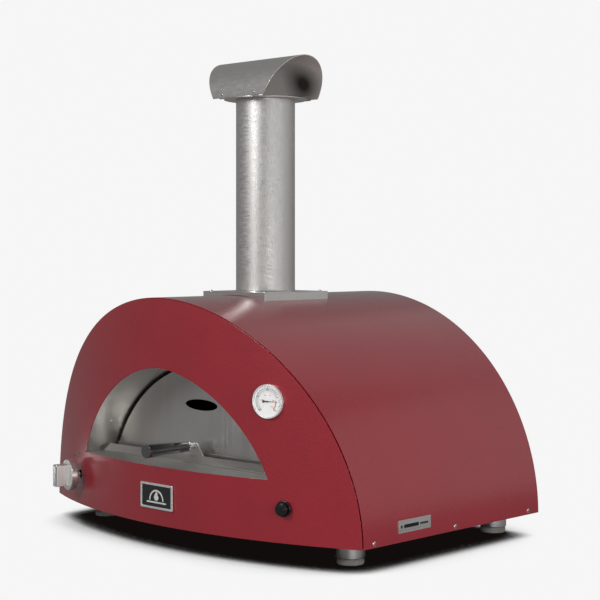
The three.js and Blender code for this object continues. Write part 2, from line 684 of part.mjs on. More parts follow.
// The spark lead crosses below the mouth from the igniter to the electrode by the burner.
function ignitionLead() {
  const back = new THREE.Vector3(0, 42 + GAP, 0);
  const behind = new THREE.Vector3(0, 56, 0);
  const group = onPanel(IGNITER);
  group.updateMatrix();
  back.applyMatrix4(group.matrix);
  behind.applyMatrix4(group.matrix);
  return swept([
    back.toArray(), behind.toArray(), [285, FRONT_Y + 14, 92], [240, FRONT_Y + 14, 76],
    [0, FRONT_Y + 14, 74], [-240, FRONT_Y + 16, 86], [-352, FRONT_Y + 20, 92],
    [-372, FRONT_Y + 20, 150], [ELECTRODE_X, FRONT_Y - 4, ELECTRODE_Z],
    [ELECTRODE_X, CHAMBER_FRONT_Y - 22.5, ELECTRODE_Z],
  ], 2, 40, 0, 6);
}

// ---------------------------------------------------------------- chimney

// A square saddle that sits over the crown: a flat top, and skirts cut to clear the arch.
function flueSaddle() {
  const inner = SADDLE_HALF - SHEET;
  const outside = box(-SADDLE_HALF, SADDLE_HALF, -SADDLE_HALF, SADDLE_HALF, 480, SADDLE_TOP_Z);
  const inside = box(-inner, inner, -inner, inner, 470, SADDLE_TOP_Z - SHEET);
  const under = [point(SADDLE_HALF + 5, 470)];
  for (let i = 0; i <= 16; i += 1) {
    const x = (SADDLE_HALF + 5) * (1 - i / 8);
    const lift = GAP + 2.2 * Math.max(0, 1 - (x / SADDLE_HALF) ** 2);
    under.push(point(x, shellHeight(x) + lift));
  }
  under.push(point(-SADDLE_HALF - 5, 470));
  const arch = extrudeY(new THREE.Shape(under), -SADDLE_HALF - 5, SADDLE_HALF + 5);
  const pipeHole = turnedUp(rod(PIPE_RADIUS + 0.6, 460, 560), 32);
  return cut(outside, inside, arch, pipeHole);
}

// The disc on top of the pipe: a sleeve down inside it, and two upright flanges for the cap's shell.
function capBase() {
  const sleeveOuter = PIPE_RADIUS - PIPE_WALL - 0.4;
  const sleeveInner = sleeveOuter - 1.5;
  const [low, high] = [CAP_Z - 2 - GAP, CAP_Z - GAP];
  const disc = [[sleeveInner, 890], [sleeveOuter, 890], [sleeveOuter, low], [CAP_DISC_RADIUS, low],
    [CAP_DISC_RADIUS, high], [sleeveInner, high], [sleeveInner, 890]];
  const flange = (y0, y1) => box(-60, 60, y0, y1, low, high + 9);
  const face = CAP_RADIUS - 1.6 - 2 * GAP;
  return join(turnedUp(disc, 32), flange(face - 2, face), flange(-face, -face + 2));
}

function capShell() {
  const wall = 1.6;
  const centreZ = CAP_TOP_Z - CAP_RADIUS;
  const halfRound = (radius) =>
    [point(radius, CAP_Z), ...archPoints(() => radius, centreZ, 30), point(-radius, CAP_Z)];
  const shell = extrudeX(band(halfRound(CAP_RADIUS), halfRound(CAP_RADIUS - wall)), -140, 140);
  const [low, high] = [CAP_Z - 5, CAP_TOP_Z + 5];
  const endX = (z) => CAP_HALF_LENGTH + (z - CAP_Z) * CAP_SLANT;
  const sideView = new THREE.Shape([
    point(-endX(low), low), point(endX(low), low), point(endX(high), high), point(-endX(high), high),
  ]);
  return common(shell, extrudeY(sideView, -CAP_RADIUS - 5, CAP_RADIUS + 5));
}

function chimney() {
  const group = new THREE.Group();
  group.position.set(0, FLUE_Y, 0);
  const inner = PIPE_RADIUS - PIPE_WALL;
  group.add(
    piece('flue_saddle', flueSaddle(), brushedSteel),
    piece('flue_spigot', turnedUp(tube(61, 59.5, 430.8, 565), 28), plainSteel),
    piece('flue_pipe', turnedUp(tube(PIPE_RADIUS, inner, PIPE_BOTTOM_Z, CAP_Z - 2 - 2 * GAP), 32),
      brushedSteel),
    piece('cap_base', capBase(), brushedSteel),
    piece('cap_shell', capShell(), brushedSteel),
  );
  return group;
}

// ---------------------------------------------------------------- the oven

const oven = new THREE.Group();
oven.add(casing(), feet(), chamber(), door(), gasControl(), igniter(), gauge(), badge(), burner(),
  chimney());

export default oven;
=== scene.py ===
# The looks of a gas-fired countertop pizza oven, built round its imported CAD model.
# Metres, +Z up, the oven's front faces -Y. Lengths below are in millimetres times MM.

from bisect import bisect_right
from math import acos, asin, cos, pi, radians, sin, sqrt, tan

import bmesh
import bpy
from mathutils import Matrix, Vector


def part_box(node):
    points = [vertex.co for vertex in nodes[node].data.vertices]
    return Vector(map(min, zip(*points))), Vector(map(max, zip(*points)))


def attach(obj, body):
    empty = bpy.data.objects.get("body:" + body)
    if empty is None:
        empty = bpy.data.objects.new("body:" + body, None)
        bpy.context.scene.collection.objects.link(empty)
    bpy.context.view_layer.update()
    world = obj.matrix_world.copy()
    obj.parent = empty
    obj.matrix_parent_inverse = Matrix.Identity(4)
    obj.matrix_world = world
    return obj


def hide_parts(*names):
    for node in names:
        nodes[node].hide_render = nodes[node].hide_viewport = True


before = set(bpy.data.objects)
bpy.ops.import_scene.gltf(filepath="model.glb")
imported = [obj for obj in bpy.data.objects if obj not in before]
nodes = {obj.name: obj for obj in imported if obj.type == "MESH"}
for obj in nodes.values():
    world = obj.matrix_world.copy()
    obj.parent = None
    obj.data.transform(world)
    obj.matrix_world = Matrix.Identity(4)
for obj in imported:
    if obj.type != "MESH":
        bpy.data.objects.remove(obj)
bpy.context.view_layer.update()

MM = 0.001

# ---------------------------------------------------------------- driving dimensions

shell_low, shell_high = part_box("outer_shell")
HALF_WIDTH = shell_high.x
BACK_Y = shell_high.y
UNDERSIDE_Z = shell_low.z
CROWN_Z = shell_high.z
SPRING_Z = 55 * MM  # where the casing's arch starts to curve in
CROWN_DROP = HALF_WIDTH - (CROWN_Z - SPRING_Z)
SHEET = 2 * MM
GAP = 0.3 * MM

# The bowed front is part of an upright cylinder.
BOW_RISE = 101.4 * MM
BOW_RADIUS = (HALF_WIDTH**2 + BOW_RISE**2) / (2 * BOW_RISE)
BOW_CENTRE_Y = shell_low.y + BOW_RADIUS
FRONT_Y = shell_low.y + BOW_RISE  # where the front edge meets the sides

SILL_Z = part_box("landing_plate")[1].z
MOUTH = {"half_width": 281.3 * MM, "rise": 198.5 * MM, "power": 1.4}
COLLAR = {"half_width": 281.3 * MM, "rise": 201 * MM, "power": 1.22}
DOOR = {"half_width": 274.8 * MM, "rise": 194.2 * MM, "power": 1.3}

pipe_low, pipe_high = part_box("flue_pipe")
PIPE_RADIUS = (pipe_high.x - pipe_low.x) / 2
PIPE_WALL = 1.8 * MM
FLUE_Y = (pipe_low.y + pipe_high.y) / 2

KNOB = (-311 * MM, 113 * MM)  # where each control's axis crosses the front: X and Z
IGNITER = (317 * MM, 113.5 * MM)
GAUGE = (284 * MM, 315 * MM)
BADGE = (0.5 * MM, 105.6 * MM)


# ---------------------------------------------------------------- outlines

def arc(centre, radius, start, end, steps):
    """Points on a circle's arc, from start to end in degrees."""
    return [(centre[0] + radius * cos(radians(start + (end - start) * i / steps)),
             centre[1] + radius * sin(radians(start + (end - start) * i / steps)))
            for i in range(steps + 1)]


def circle(centre, radius, steps=64, squeeze=1.0):
    """A closed circle, narrowed along its first axis by squeeze."""
    points = arc((0, 0), radius, 0, 360, steps)[:-1]
    return [(centre[0] + x * squeeze, centre[1] + y) for x, y in points]


def rounded(points, radius, steps=4):
    """An outline with its corners rounded; a corner (x, y, r) has a radius of its own."""
    count = len(points)
    result = []
    for i, corner in enumerate(points):
        here = Vector(corner[:2])
        wanted = corner[2] if len(corner) > 2 else radius
        if wanted <= 0:
            result.append((here.x, here.y))
            continue
        before = Vector(points[i - 1][:2]) - here
        after = Vector(points[(i + 1) % count][:2]) - here
        turn = before.angle(after)
        if turn > radians(172):
            result.append((here.x, here.y))
            continue
        reach = min(wanted / tan(turn / 2), before.length * 0.49, after.length * 0.49)
        fillet = reach * tan(turn / 2)
        centre = here + (before.normalized() + after.normalized()).normalized() * (fillet / sin(turn / 2))
        first = here + before.normalized() * reach - centre
        last = here + after.normalized() * reach - centre
        sweep = first.angle_signed(last)
        for k in range(steps + 1):
            spoke = first.copy()
            spoke.rotate(Matrix.Rotation(-sweep * k / steps, 2))
            result.append(tuple(centre + spoke))
    return result


def mm(*points):
    """Points given in millimetres, in metres."""
    return [tuple(value * MM for value in point) for point in points]


def rectangle(x0, x1, y0, y1, radius):
    return rounded([(x0, y0), (x1, y0), (x1, y1), (x0, y1)], radius)


def shell_radius(angle, inset=0.0):
    return HALF_WIDTH - inset - CROWN_DROP * max(sin(angle), 0) ** 1.1


def shell_outline(inset=0.0, bottom=UNDERSIDE_Z, steps=144):
    """The casing's arch from its right foot over the crown to its left foot, moved in by inset."""
    arch = []
    for i in range(steps + 1):
        angle = pi * i / steps
        radius = shell_radius(angle, inset)
        arch.append((radius * cos(angle), SPRING_Z + radius * sin(angle)))
    foot = HALF_WIDTH - inset
    return [(foot, bottom), *arch, (-foot, bottom)]


def opening_outline(opening, grow=0.0, sill=SILL_Z, steps=96):
    """An arch that bulges towards its feet, from its right foot over the crown to its left foot."""
    points = []
    for i in range(steps + 1):
        angle = pi * i / steps
        bulge = (opening["half_width"] - opening["rise"]) * (1 - sin(angle)) ** opening["power"]
        radius = opening["rise"] + grow + bulge
        points.append((radius * cos(angle), sill + radius * sin(angle)))
    return points


def bow_y(x, inset=0.0):
    return BOW_CENTRE_Y - sqrt((BOW_RADIUS - inset) ** 2 - x**2)


# ---------------------------------------------------------------- meshes

def from_bmesh(name, bm, material):
    """A finished object: faces shaded smooth, with edges sharper than 35 degrees kept crisp."""
    bmesh.ops.remove_doubles(bm, verts=bm.verts, dist=1e-6)
    bmesh.ops.dissolve_degenerate(bm, edges=bm.edges, dist=1e-7)
    bmesh.ops.recalc_face_normals(bm, faces=bm.faces)
    for face in bm.faces:
        face.smooth = True
    for edge in bm.edges:
        if len(edge.link_faces) == 2 and edge.calc_face_angle(0) > radians(35):
            edge.smooth = False
    mesh = bpy.data.meshes.new(name)
    bm.to_mesh(mesh)
    bm.free()
    mesh.materials.append(material)
    made = bpy.data.objects.new(name, mesh)
    bpy.context.scene.collection.objects.link(made)
    weighted = made.modifiers.new("weighted_normals", "WEIGHTED_NORMAL")
    weighted.keep_sharp = True
    return made


def add_lathe(bm, profile, place=Matrix.Identity(4), steps=96):
    """Turns a closed [(radius, height)] profile round place's Z axis."""
    rings = []
    for i in range(steps):
        turn = Matrix.Rotation(2 * pi * i / steps, 4, "Z")
        rings.append([bm.verts.new(place @ turn @ Vector((r, 0, height))) for r, height in profile])
    for i in range(steps):
        here, after = rings[i], rings[(i + 1) % steps]
        for k in range(len(profile)):
            nxt = (k + 1) % len(profile)
            if profile[k][0] < 1e-9 and profile[nxt][0] < 1e-9:
                continue
            bm.faces.new([here[k], here[nxt], after[nxt], after[k]])


def lathe(name, profile, material, place=Matrix.Identity(4), steps=96):
    bm = bmesh.new()
    add_lathe(bm, profile, place, steps)
    return from_bmesh(name, bm, material)


def inward(loop):
    """The mitred direction into the material at each point of a loop that has it on its left."""
    result = []
    count = len(loop)
    for i in range(count):
        here = Vector(loop[i])
        back = (here - Vector(loop[i - 1])).normalized()
        ahead = (Vector(loop[(i + 1) % count]) - here).normalized()
        a, b = Vector((-back.y, back.x)), Vector((-ahead.y, ahead.x))
        middle = a + b
        if middle.length < 1e-6:
            middle = a.copy()
        middle.normalize()
        result.append(middle / max(middle.dot(a), 0.35))
    return result


def facing_front(u, v, w):
    """Places a plate upright, seen from the front."""
    return u, w, v


def facing_up(u, v, w):
    """Places a plate level."""
    return u, v, w


def facing_side(u, v, w):
    """Places a plate upright, seen from the side."""
    return w, u, v


def seated(place):
    """Places a plate in the plane of a matrix, its thickness along the matrix's Z."""
    return lambda u, v, w: place @ Vector((u, v, w))


def add_plate(bm, loops, low, high, edge=0.4 * MM, rounds=2, cuts=(), place=facing_front):
    """A plate with rounded edges from w = low to high. The first loop is its outline, the others are holes.

    cuts are the values of u to cut it at, so that place can then bend it.
    """
    flat = bmesh.new()
    edge = min(edge, (high - low) * 0.49)
    section = []  # how far in and how high each ring of the rim is
    for k in range(rounds + 1):
        angle = pi / 2 * k / rounds
        section.append((edge * (1 - sin(angle)), low + edge * (1 - cos(angle))))
    section += [(inset, low + high - w) for inset, w in reversed(section)]
    caps = {0: [], len(section) - 1: []}
    for number, loop in enumerate(loops):
        area = sum(loop[i - 1][0] * loop[i][1] - loop[i][0] * loop[i - 1][1] for i in range(len(loop)))
        if (area > 0) != (number == 0):
            loop = loop[::-1]
        into = inward(loop)
        rings = []
        for inset, w in section:
            rings.append([flat.verts.new((p[0] + d.x * inset, p[1] + d.y * inset, w))
                          for p, d in zip(loop, into)])
        for k in range(len(section) - 1):
            for i in range(len(loop)):
                j = (i + 1) % len(loop)
                flat.faces.new([rings[k][i], rings[k][j], rings[k + 1][j], rings[k + 1][i]])
        for k in caps:
            for i in range(len(loop)):
                caps[k].append(flat.edges.get((rings[k][i], rings[k][(i + 1) % len(loop)])))
    for rim in caps.values():
        bmesh.ops.triangle_fill(flat, edges=rim, use_beauty=True, use_dissolve=False)
    for u in cuts:
        bmesh.ops.bisect_plane(flat, geom=flat.verts[:] + flat.edges[:] + flat.faces[:], dist=1e-7,
                               plane_co=(u, 0, 0), plane_no=(1, 0, 0))
    for vert in flat.verts:
        vert.co = Vector(place(*vert.co))
    mesh = bpy.data.meshes.new("plate")
    bmesh.ops.recalc_face_normals(flat, faces=flat.faces)
    flat.to_mesh(mesh)
    flat.free()
    bm.from_mesh(mesh)
    bpy.data.meshes.remove(mesh)


def plate(name, loops, low, high, material, edge=0.4 * MM, rounds=2, cuts=(), place=facing_front):
    bm = bmesh.new()
    add_plate(bm, loops, low, high, edge, rounds, cuts, place)
    return from_bmesh(name, bm, material)


def spread(low, high, step):
    """Evenly spaced values inside low and high, about step apart."""
    count = max(int(round((high - low) / step)), 1)
    return [low + (high - low) * i / count for i in range(1, count)]


class Bend:
    """A curve in a plane, read by the length along it: it rolls a flat sheet into an arch."""

    def __init__(self, points):
        self.points = [Vector(p) for p in points]
        self.lengths = [0.0]
        for a, b in zip(self.points, self.points[1:]):
            self.lengths.append(self.lengths[-1] + (b - a).length)
        self.total = self.lengths[-1]

    def normal(self, i):
        a, b = self.points[max(i - 1, 0)], self.points[min(i + 1, len(self.points) - 1)]
        along = (b - a).normalized()
        return Vector((along.y, -along.x))

    def at(self, u, out=0.0):
        """The point at length u along the curve, moved by out along its normal, to the curve's right."""
        i = min(max(bisect_right(self.lengths, u) - 1, 0), len(self.lengths) - 2)
        share = (u - self.lengths[i]) / (self.lengths[i + 1] - self.lengths[i])
        spot = self.points[i].lerp(self.points[i + 1], share)
        blend = min(max(share, 0), 1)
        return spot + self.normal(i).lerp(self.normal(i + 1), blend).normalized() * out


def rolled(arch):
    """Rolls a flat plate round an arch that runs from left to right; w counts inwards from the arch."""
    def place(u, v, w):
        spot = arch.at(u, w)
        return spot.x, v, spot.y
    return place


def centre_of(name):
    """The middle of a CAD node seen from the front, as X and Z."""
    low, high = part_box(name)
    return (low.x + high.x) / 2, (low.z + high.z) / 2


def show(made, body, slot, *replaced):
    """Attaches a piece to the body it rides on and hides the CAD nodes it stands for. The slot is not used.
    """
    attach(made, body)
    if replaced:
        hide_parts(*replaced)


def facing(spot, direction):
    """A matrix at spot with its Z axis along direction."""
    made = Vector(direction).to_track_quat("Z", "Y").to_matrix().to_4x4()
    made.translation = Vector(spot)
    return made


def on_panel(spot):
    """A matrix whose origin is on the front panel, Z pointing out of it and Y up."""
    x, z = spot
    turn = asin(x / BOW_RADIUS)
    outward = Vector((sin(turn), -cos(turn), 0))
    up = Vector((0, 0, 1))
    right = up.cross(outward)
    base = Matrix((right, up, outward)).transposed().to_4x4()
    base.translation = Vector((x, bow_y(x), z))
    return base


# ---------------------------------------------------------------- materials

def linear(r, g, b):
    """An sRGB colour from 0 to 255 as linear values."""
    channels = [c / 255 for c in (r, g, b)]
    return tuple(c / 12.92 if c <= 0.04045 else ((c + 0.055) / 1.055) ** 2.4 for c in channels) + (1,)


class Finish:
    """A material built round one Principled shader, with noise layers read in the oven's own axes."""

    def __init__(self, name, colour, roughness, metallic=0.0):
        self.material = bpy.data.materials.new(name)
        self.material.use_nodes = True
        self.tree = self.material.node_tree
        self.shader = self.tree.nodes["Principled BSDF"]
        self.shader.inputs["Base Color"].default_value = colour
        self.shader.inputs["Roughness"].default_value = roughness
        self.shader.inputs["Metallic"].default_value = metallic
        self.colour = colour
        self.place = self.tree.nodes.new("ShaderNodeTexCoord").outputs["Object"]

    def put(self, **values):
        for name, value in values.items():
            self.shader.inputs[name.replace("_", " ")].default_value = value
        return self

    def noise(self, scale, detail=3.0, stretch=(1, 1, 1), rough=0.55):
        """A noise layer with scale features to the metre, stretched along an axis by less than 1."""
        mapping = self.tree.nodes.new("ShaderNodeMapping")
        mapping.inputs["Scale"].default_value = stretch
        self.tree.links.new(self.place, mapping.inputs["Vector"])
        noise = self.tree.nodes.new("ShaderNodeTexNoise")
        noise.inputs["Scale"].default_value = scale
        noise.inputs["Detail"].default_value = detail
        noise.inputs["Roughness"].default_value = rough
        self.tree.links.new(mapping.outputs["Vector"], noise.inputs["Vector"])
        return noise.outputs["Fac"]

    def span(self, factor, low, high, start=0.3, end=0.7):
        """A layer's values from start to end, spread between low and high."""
        node = self.tree.nodes.new("ShaderNodeMapRange")
        for name, value in (("From Min", start), ("From Max", end), ("To Min", low), ("To Max", high)):
            node.inputs[name].default_value = value
        self.tree.links.new(factor, node.inputs["Value"])
        return node.outputs["Result"]

    def tint(self, factor, other, start=0.3, end=0.7):
        """Fades the colour to other where the layer is high."""
        mix = self.tree.nodes.new("ShaderNodeMix")
        mix.data_type = "RGBA"
        before = self.shader.inputs["Base Color"]
        if before.is_linked:
            self.tree.links.new(before.links[0].from_socket, mix.inputs["A"])
        else:
            mix.inputs["A"].default_value = self.colour
        mix.inputs["B"].default_value = other
        self.tree.links.new(self.span(factor, 0, 1, start, end), mix.inputs["Factor"])
        self.tree.links.new(mix.outputs["Result"], before)
        return self

    def roughness(self, factor, low, high, start=0.3, end=0.7):
        self.tree.links.new(self.span(factor, low, high, start, end), self.shader.inputs["Roughness"])
        return self

    def bump(self, factor, height):
        """Relief of the given height in metres, laid over any earlier relief."""
        node = self.tree.nodes.new("ShaderNodeBump")
        node.inputs["Strength"].default_value = 1.0
        node.inputs["Distance"].default_value = height
        self.tree.links.new(factor, node.inputs["Height"])
        before = self.shader.inputs["Normal"]
        if before.is_linked:
            self.tree.links.new(before.links[0].from_socket, node.inputs["Normal"])
        self.tree.links.new(node.outputs["Normal"], before)
        return self


def shade(colour, factor):
    return tuple(min(c * factor, 1) for c in colour[:3]) + (1,)


def red_coat():
    """Powder coat: fine grain, a soft gloss and slight unevenness in tone."""
    red = linear(150, 24, 39)
    finish = Finish("red_coat", red, 0.4)
    cloud = finish.noise(9, 3)
    grain = finish.noise(620, 2)
    finish.tint(cloud, shade(red, 0.88)).tint(finish.noise(300, 2), shade(red, 1.08), 0.45, 0.75)
    finish.roughness(grain, 0.34, 0.46)
    finish.bump(grain, 0.16 * MM).bump(finish.noise(230, 3), 0.3 * MM)
    relief = finish.shader.inputs["Normal"].links[0].from_socket
    finish.tree.links.new(relief, finish.shader.inputs["Coat Normal"])
    return finish.put(Specular_IOR_Level=0.5, Coat_Weight=1.0, Coat_Roughness=0.05).material


def steel(name, tone, stretch, low, high, streak=0.05, depth=0.02, warm=1.0, wide=160):
    """Brushed stainless, with its grain along the axes where stretch is small."""
    base = linear(tone, tone * (0.5 + 0.5 * warm) - 2, tone * warm - 5)
    finish = Finish(name, base, (low + high) / 2, 1.0)
    grain = finish.noise(900, 4, stretch, 0.7)
    lines = finish.noise(wide, 3, stretch)
    cloud = finish.noise(7, 2)
    finish.tint(grain, shade(base, 1 - 2 * streak)).tint(lines, shade(base, 1 + streak))
    finish.tint(cloud, shade(base, 0.94))
    finish.roughness(lines, low, high)
    finish.bump(grain, depth * MM)
    return finish.material


def cap_steel(name, tone):
    """Stainless with a fine swirl-brushed finish, mottled by the sheet's rolling."""
    base = linear(tone, tone - 2, tone - 5)
    finish = Finish(name, base, 0.36, 1.0)
    mottle = finish.noise(150, 5, (0.35, 1, 1), 0.7)
    finish.tint(mottle, shade(base, 0.86)).tint(finish.noise(700, 3), shade(base, 1.1))
    finish.roughness(mottle, 0.3, 0.46)
    return finish.bump(mottle, 0.04 * MM).material


def stained_steel(spot):
    """Dull stainless, darkened round a spot: painted shade inside the hood."""
    base = linear(238, 234, 228)
    finish = Finish("stained_steel", base, 0.4, 0.15)
    grain = finish.noise(420, 4, (0.3, 1, 1), 0.7)
    finish.tint(grain, shade(base, 0.8))
    away = finish.tree.nodes.new("ShaderNodeVectorMath")
    away.operation = "DISTANCE"
    away.inputs[1].default_value = spot
    finish.tree.links.new(finish.place, away.inputs[0])
    # The dark colour near the spot is painted shade.
    finish.tint(away.outputs["Value"], linear(62, 58, 54), 0.062, 0.012)
    return finish.roughness(grain, 0.36, 0.5).bump(grain, 0.03 * MM).material


def polished(name, tone, low=0.06, high=0.16):
    base = linear(tone, tone, tone)
    finish = Finish(name, base, low, 1.0)
    finish.tint(finish.noise(260, 3), shade(base, 0.92))
    return finish.roughness(finish.noise(420, 3), low, high).bump(finish.noise(900, 2), 0.004 * MM).material


def brass():
    base = linear(186, 152, 92)
    finish = Finish("brass", base, 0.3, 1.0)
    finish.tint(finish.noise(60, 4), shade(base, 0.7)).roughness(finish.noise(400, 3), 0.22, 0.42)
    return finish.bump(finish.noise(900, 3, (1, 0.1, 1)), 0.02 * MM).material


def satin_silver(name, tone, metallic):
    """Satin-plated trim, pale and softly reflecting."""
    base = linear(tone, tone, tone)
    finish = Finish(name, base, 0.25, metallic)
    finish.tint(finish.noise(300, 3), shade(base, 0.95))
    return finish.roughness(finish.noise(500, 3), 0.2, 0.3).bump(finish.noise(1000, 2), 0.006 * MM).material


def moulded(name, colour, low, high, grain=0.03):
    """Moulded plastic: a fine spark-eroded grain and slight flow marks."""
    finish = Finish(name, colour, low)
    finish.tint(finish.noise(40, 3), shade(colour, 1.35)).roughness(finish.noise(500, 3), low, high)
    return finish.bump(finish.noise(1500, 2), grain * MM).material


def lacquered(name, colour):
    """Hard glossy plastic that mirrors the steel behind it."""
    finish = Finish(name, colour, 0.2)
    finish.tint(finish.noise(40, 3), shade(colour, 1.3)).roughness(finish.noise(300, 3), 0.14, 0.24)
    finish.bump(finish.noise(900, 2), 0.003 * MM)
    return finish.put(Coat_Weight=1.0, Coat_Roughness=0.05, Coat_IOR=1.85).material


def firebrick():
    """Cast refractory: sandy speckle, open pores and a few scorched patches."""
    base = linear(196, 176, 148)
    finish = Finish("firebrick", base, 0.9)
    speckle = finish.noise(420, 4, rough=0.7)
    finish.tint(finish.noise(14, 4), linear(172, 146, 114)).tint(speckle, linear(226, 212, 190), 0.5, 0.8)
    finish.tint(finish.noise(5, 3), linear(120, 100, 82), 0.58, 0.8)
    finish.roughness(speckle, 0.82, 0.97).bump(speckle, 0.5 * MM)
    return finish.bump(finish.noise(90, 4), 0.5 * MM).material


def blanket():
    """Ceramic fibre blanket: matted white fibres in soft layers."""
    base = linear(232, 228, 218)
    finish = Finish("blanket", base, 0.95)
    fibre = finish.noise(350, 5, (1, 0.25, 1), 0.75)
    finish.tint(fibre, linear(206, 200, 188)).tint(finish.noise(30, 3), linear(240, 238, 232))
    finish.roughness(fibre, 0.9, 1.0).bump(fibre, 1.2 * MM)
    return finish.put(Sheen_Weight=0.3, Sheen_Roughness=0.5).material


def ceramic():
    base = linear(232, 226, 214)
    finish = Finish("ceramic", base, 0.6)
    finish.tint(finish.noise(300, 3), linear(212, 204, 190)).roughness(finish.noise(500, 2), 0.5, 0.7)
    return finish.bump(finish.noise(900, 2), 0.02 * MM).material


def lead_rubber():
    base = linear(120, 24, 20)
    finish = Finish("lead_rubber", base, 0.55)
    finish.tint(finish.noise(150, 3), shade(base, 0.75)).roughness(finish.noise(700, 2), 0.48, 0.65)
    return finish.bump(finish.noise(1200, 2), 0.02 * MM).material


def printed(name, colour, low=0.4, high=0.5):
    finish = Finish(name, colour, low)
    finish.tint(finish.noise(300, 2), shade(colour, 0.95)).roughness(finish.noise(700, 2), low, high)
    return finish.bump(finish.noise(1200, 2), 0.004 * MM).material


def clear_glass():
    finish = Finish("clear_glass", (1, 1, 1, 1), 0.03)
    finish.roughness(finish.noise(200, 2), 0.02, 0.05)
    return finish.put(Alpha=0.05, Specular_IOR_Level=0.5).material


RED = red_coat()
ALONG_X = (0.03, 1, 1)
ALONG_Y = (1, 0.03, 1)
ALONG_Z = (1, 1, 0.03)
ROUND_Z = (0.05, 0.05, 1)  # brushed round an upright tube
DOOR_STEEL = steel("door_steel", 226, ALONG_Z, 0.3, 0.42)
LIP_STEEL = steel("lip_steel", 220, ALONG_X, 0.32, 0.44)
COLLAR_STEEL = steel("collar_steel", 228, ALONG_Y, 0.3, 0.42)
PIPE_STEEL = steel("pipe_steel", 222, (0.13, 0.13, 1), 0.34, 0.6, streak=0.09, depth=0.2, wide=400)
SADDLE_STEEL = steel("saddle_steel", 226, ALONG_X, 0.3, 0.42)
KNOB_STEEL = steel("knob_steel", 248, ALONG_Z, 0.26, 0.38, streak=0.04)
FOOT_STEEL = steel("foot_steel", 208, ROUND_Z, 0.3, 0.42)
LABEL_STEEL = steel("label_steel", 250, ALONG_Y, 0.26, 0.4)
PLAIN_STEEL = steel("plain_steel", 170, ALONG_X, 0.4, 0.55, streak=0.08, depth=0.03)
CAP_STEEL = cap_steel("cap_steel", 222)
CHROME = polished("chrome", 225)
CHROME_SATIN = polished("satin_bead", 216, 0.18, 0.3)
BRASS = brass()
BLACK = moulded("black_plastic", linear(20, 20, 22), 0.2, 0.3, 0.012)
GRIP = lacquered("grip_plastic", linear(26, 26, 28))
GREY = moulded("grey_plastic", linear(62, 62, 64), 0.5, 0.65)
PAD = moulded("foot_pad", linear(120, 117, 113), 0.45, 0.6)
CHARCOAL = printed("charcoal_enamel", linear(34, 35, 36), 0.35, 0.5)
SILVER_PRINT = printed("silver_print", linear(214, 214, 212), 0.35, 0.45)
DIAL = printed("dial_white", linear(254, 254, 253))
BEZEL = satin_silver("bezel_silver", 250, 0.35)
FRAME_SILVER = satin_silver("frame_silver", 236, 0.6)
DIAL_BAND = printed("dial_band", linear(214, 218, 218))
DIAL_DARK = printed("dial_dark", linear(44, 46, 50))
DIAL_RED = printed("dial_red", linear(222, 84, 70))
DIAL_AMBER = printed("dial_amber", linear(222, 140, 30))
NEEDLE = printed("needle_black", linear(10, 10, 11), 0.3, 0.4)
GLASS = clear_glass()
BRICK = firebrick()
BLANKET = blanket()
CERAMIC = ceramic()
LEAD = lead_rubber()
# Near-black for holes and ports drawn as discs: painted shade.
HOLE_SHADE = printed("painted_hole_shade", linear(12, 10, 10), 0.6, 0.8)


# ---------------------------------------------------------------- casing

def casing():
    arch = Bend(shell_outline()[::-1])  # from the left foot over the crown to the right one
    total = arch.total

    # Unrolled, the shell is a rectangle whose front edge follows the bow.
    steps = 160
    behind = SHEET + 0.1 * MM  # how far the shell's edge is behind the front panel's face
    front = [(total * i / steps, bow_y(arch.at(total * i / steps).x, behind)) for i in range(steps + 1)]
    hole = circle((total / 2, FLUE_Y), 66 * MM, 72)
    # The sheet is laid on the outside of the arch.
    shell = plate("shell_skin", [[*front, (total, BACK_Y), (0, BACK_Y)], hole], -SHEET, 0, RED,
                  edge=0.5 * MM, cuts=spread(0, total, 9 * MM), place=rolled(arch))
    show(shell, "oven", "red_coat", "outer_shell")

    holes = [opening_outline(MOUTH)[::-1]]
    for (x, z), radius in ((GAUGE, 27 * MM), (KNOB, 9 * MM), (IGNITER, 11 * MM)):
        holes.append(circle((x, z), radius, 48, cos(asin(x / BOW_RADIUS))))

    def bow(x, z, w):
        turn = asin(max(min(x / BOW_RADIUS, 1), -1))
        return (BOW_RADIUS + w) * sin(turn), BOW_CENTRE_Y - (BOW_RADIUS + w) * cos(turn), z

    panel = plate("front_skin", [shell_outline(0.1 * MM), *holes], -SHEET, 0, RED, edge=0.6 * MM,
                  cuts=spread(-HALF_WIDTH, HALF_WIDTH, 10 * MM), place=bow)
    show(panel, "oven", "red_coat", "front_panel")

    low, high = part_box("rear_panel")
    inlet = circle(centre_of("gas_inlet_fitting"), 8.6 * MM, 40)
    rear = plate("rear_skin", [shell_outline(SHEET + GAP), inlet], low.y, high.y, PLAIN_STEEL)
    show(rear, "oven", "plain_steel", "rear_panel")

    low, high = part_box("base_pan")
    side = high.x
    front = [(x, bow_y(x, SHEET + GAP)) for x in [-side, *spread(-side, side, 20 * MM), side]]
    bm = bmesh.new()
    add_plate(bm, [[*front, (side, high.y), (-side, high.y)]], low.z, low.z + SHEET, place=facing_up)
    flange = rectangle(FRONT_Y + 12 * MM, BACK_Y - 6 * MM, low.z + 0.2 * MM, high.z, 0.8 * MM)
    for hand in (-1, 1):
        x0, x1 = sorted((hand * (side - 1 * MM), hand * (side - 1 * MM - SHEET)))
        add_plate(bm, [flange], x0, x1, place=facing_side)
    show(from_bmesh("base_tray", bm, PLAIN_STEEL), "oven", "plain_steel", "base_pan")


def hex_socket(bm, place, across, depth):
    """The walls and the floor of a hexagonal socket sunk below place's origin."""
    corners = circle((0, 0), across / 2 / cos(radians(30)), 6)
    top, floor = ([bm.verts.new(place @ Vector((x, y, z))) for x, y in corners] for z in (0, -depth))
    for i in range(6):
        j = (i + 1) % 6
        bm.faces.new([top[i], top[j], floor[j], floor[i]])
    bm.faces.new(floor)
    return top


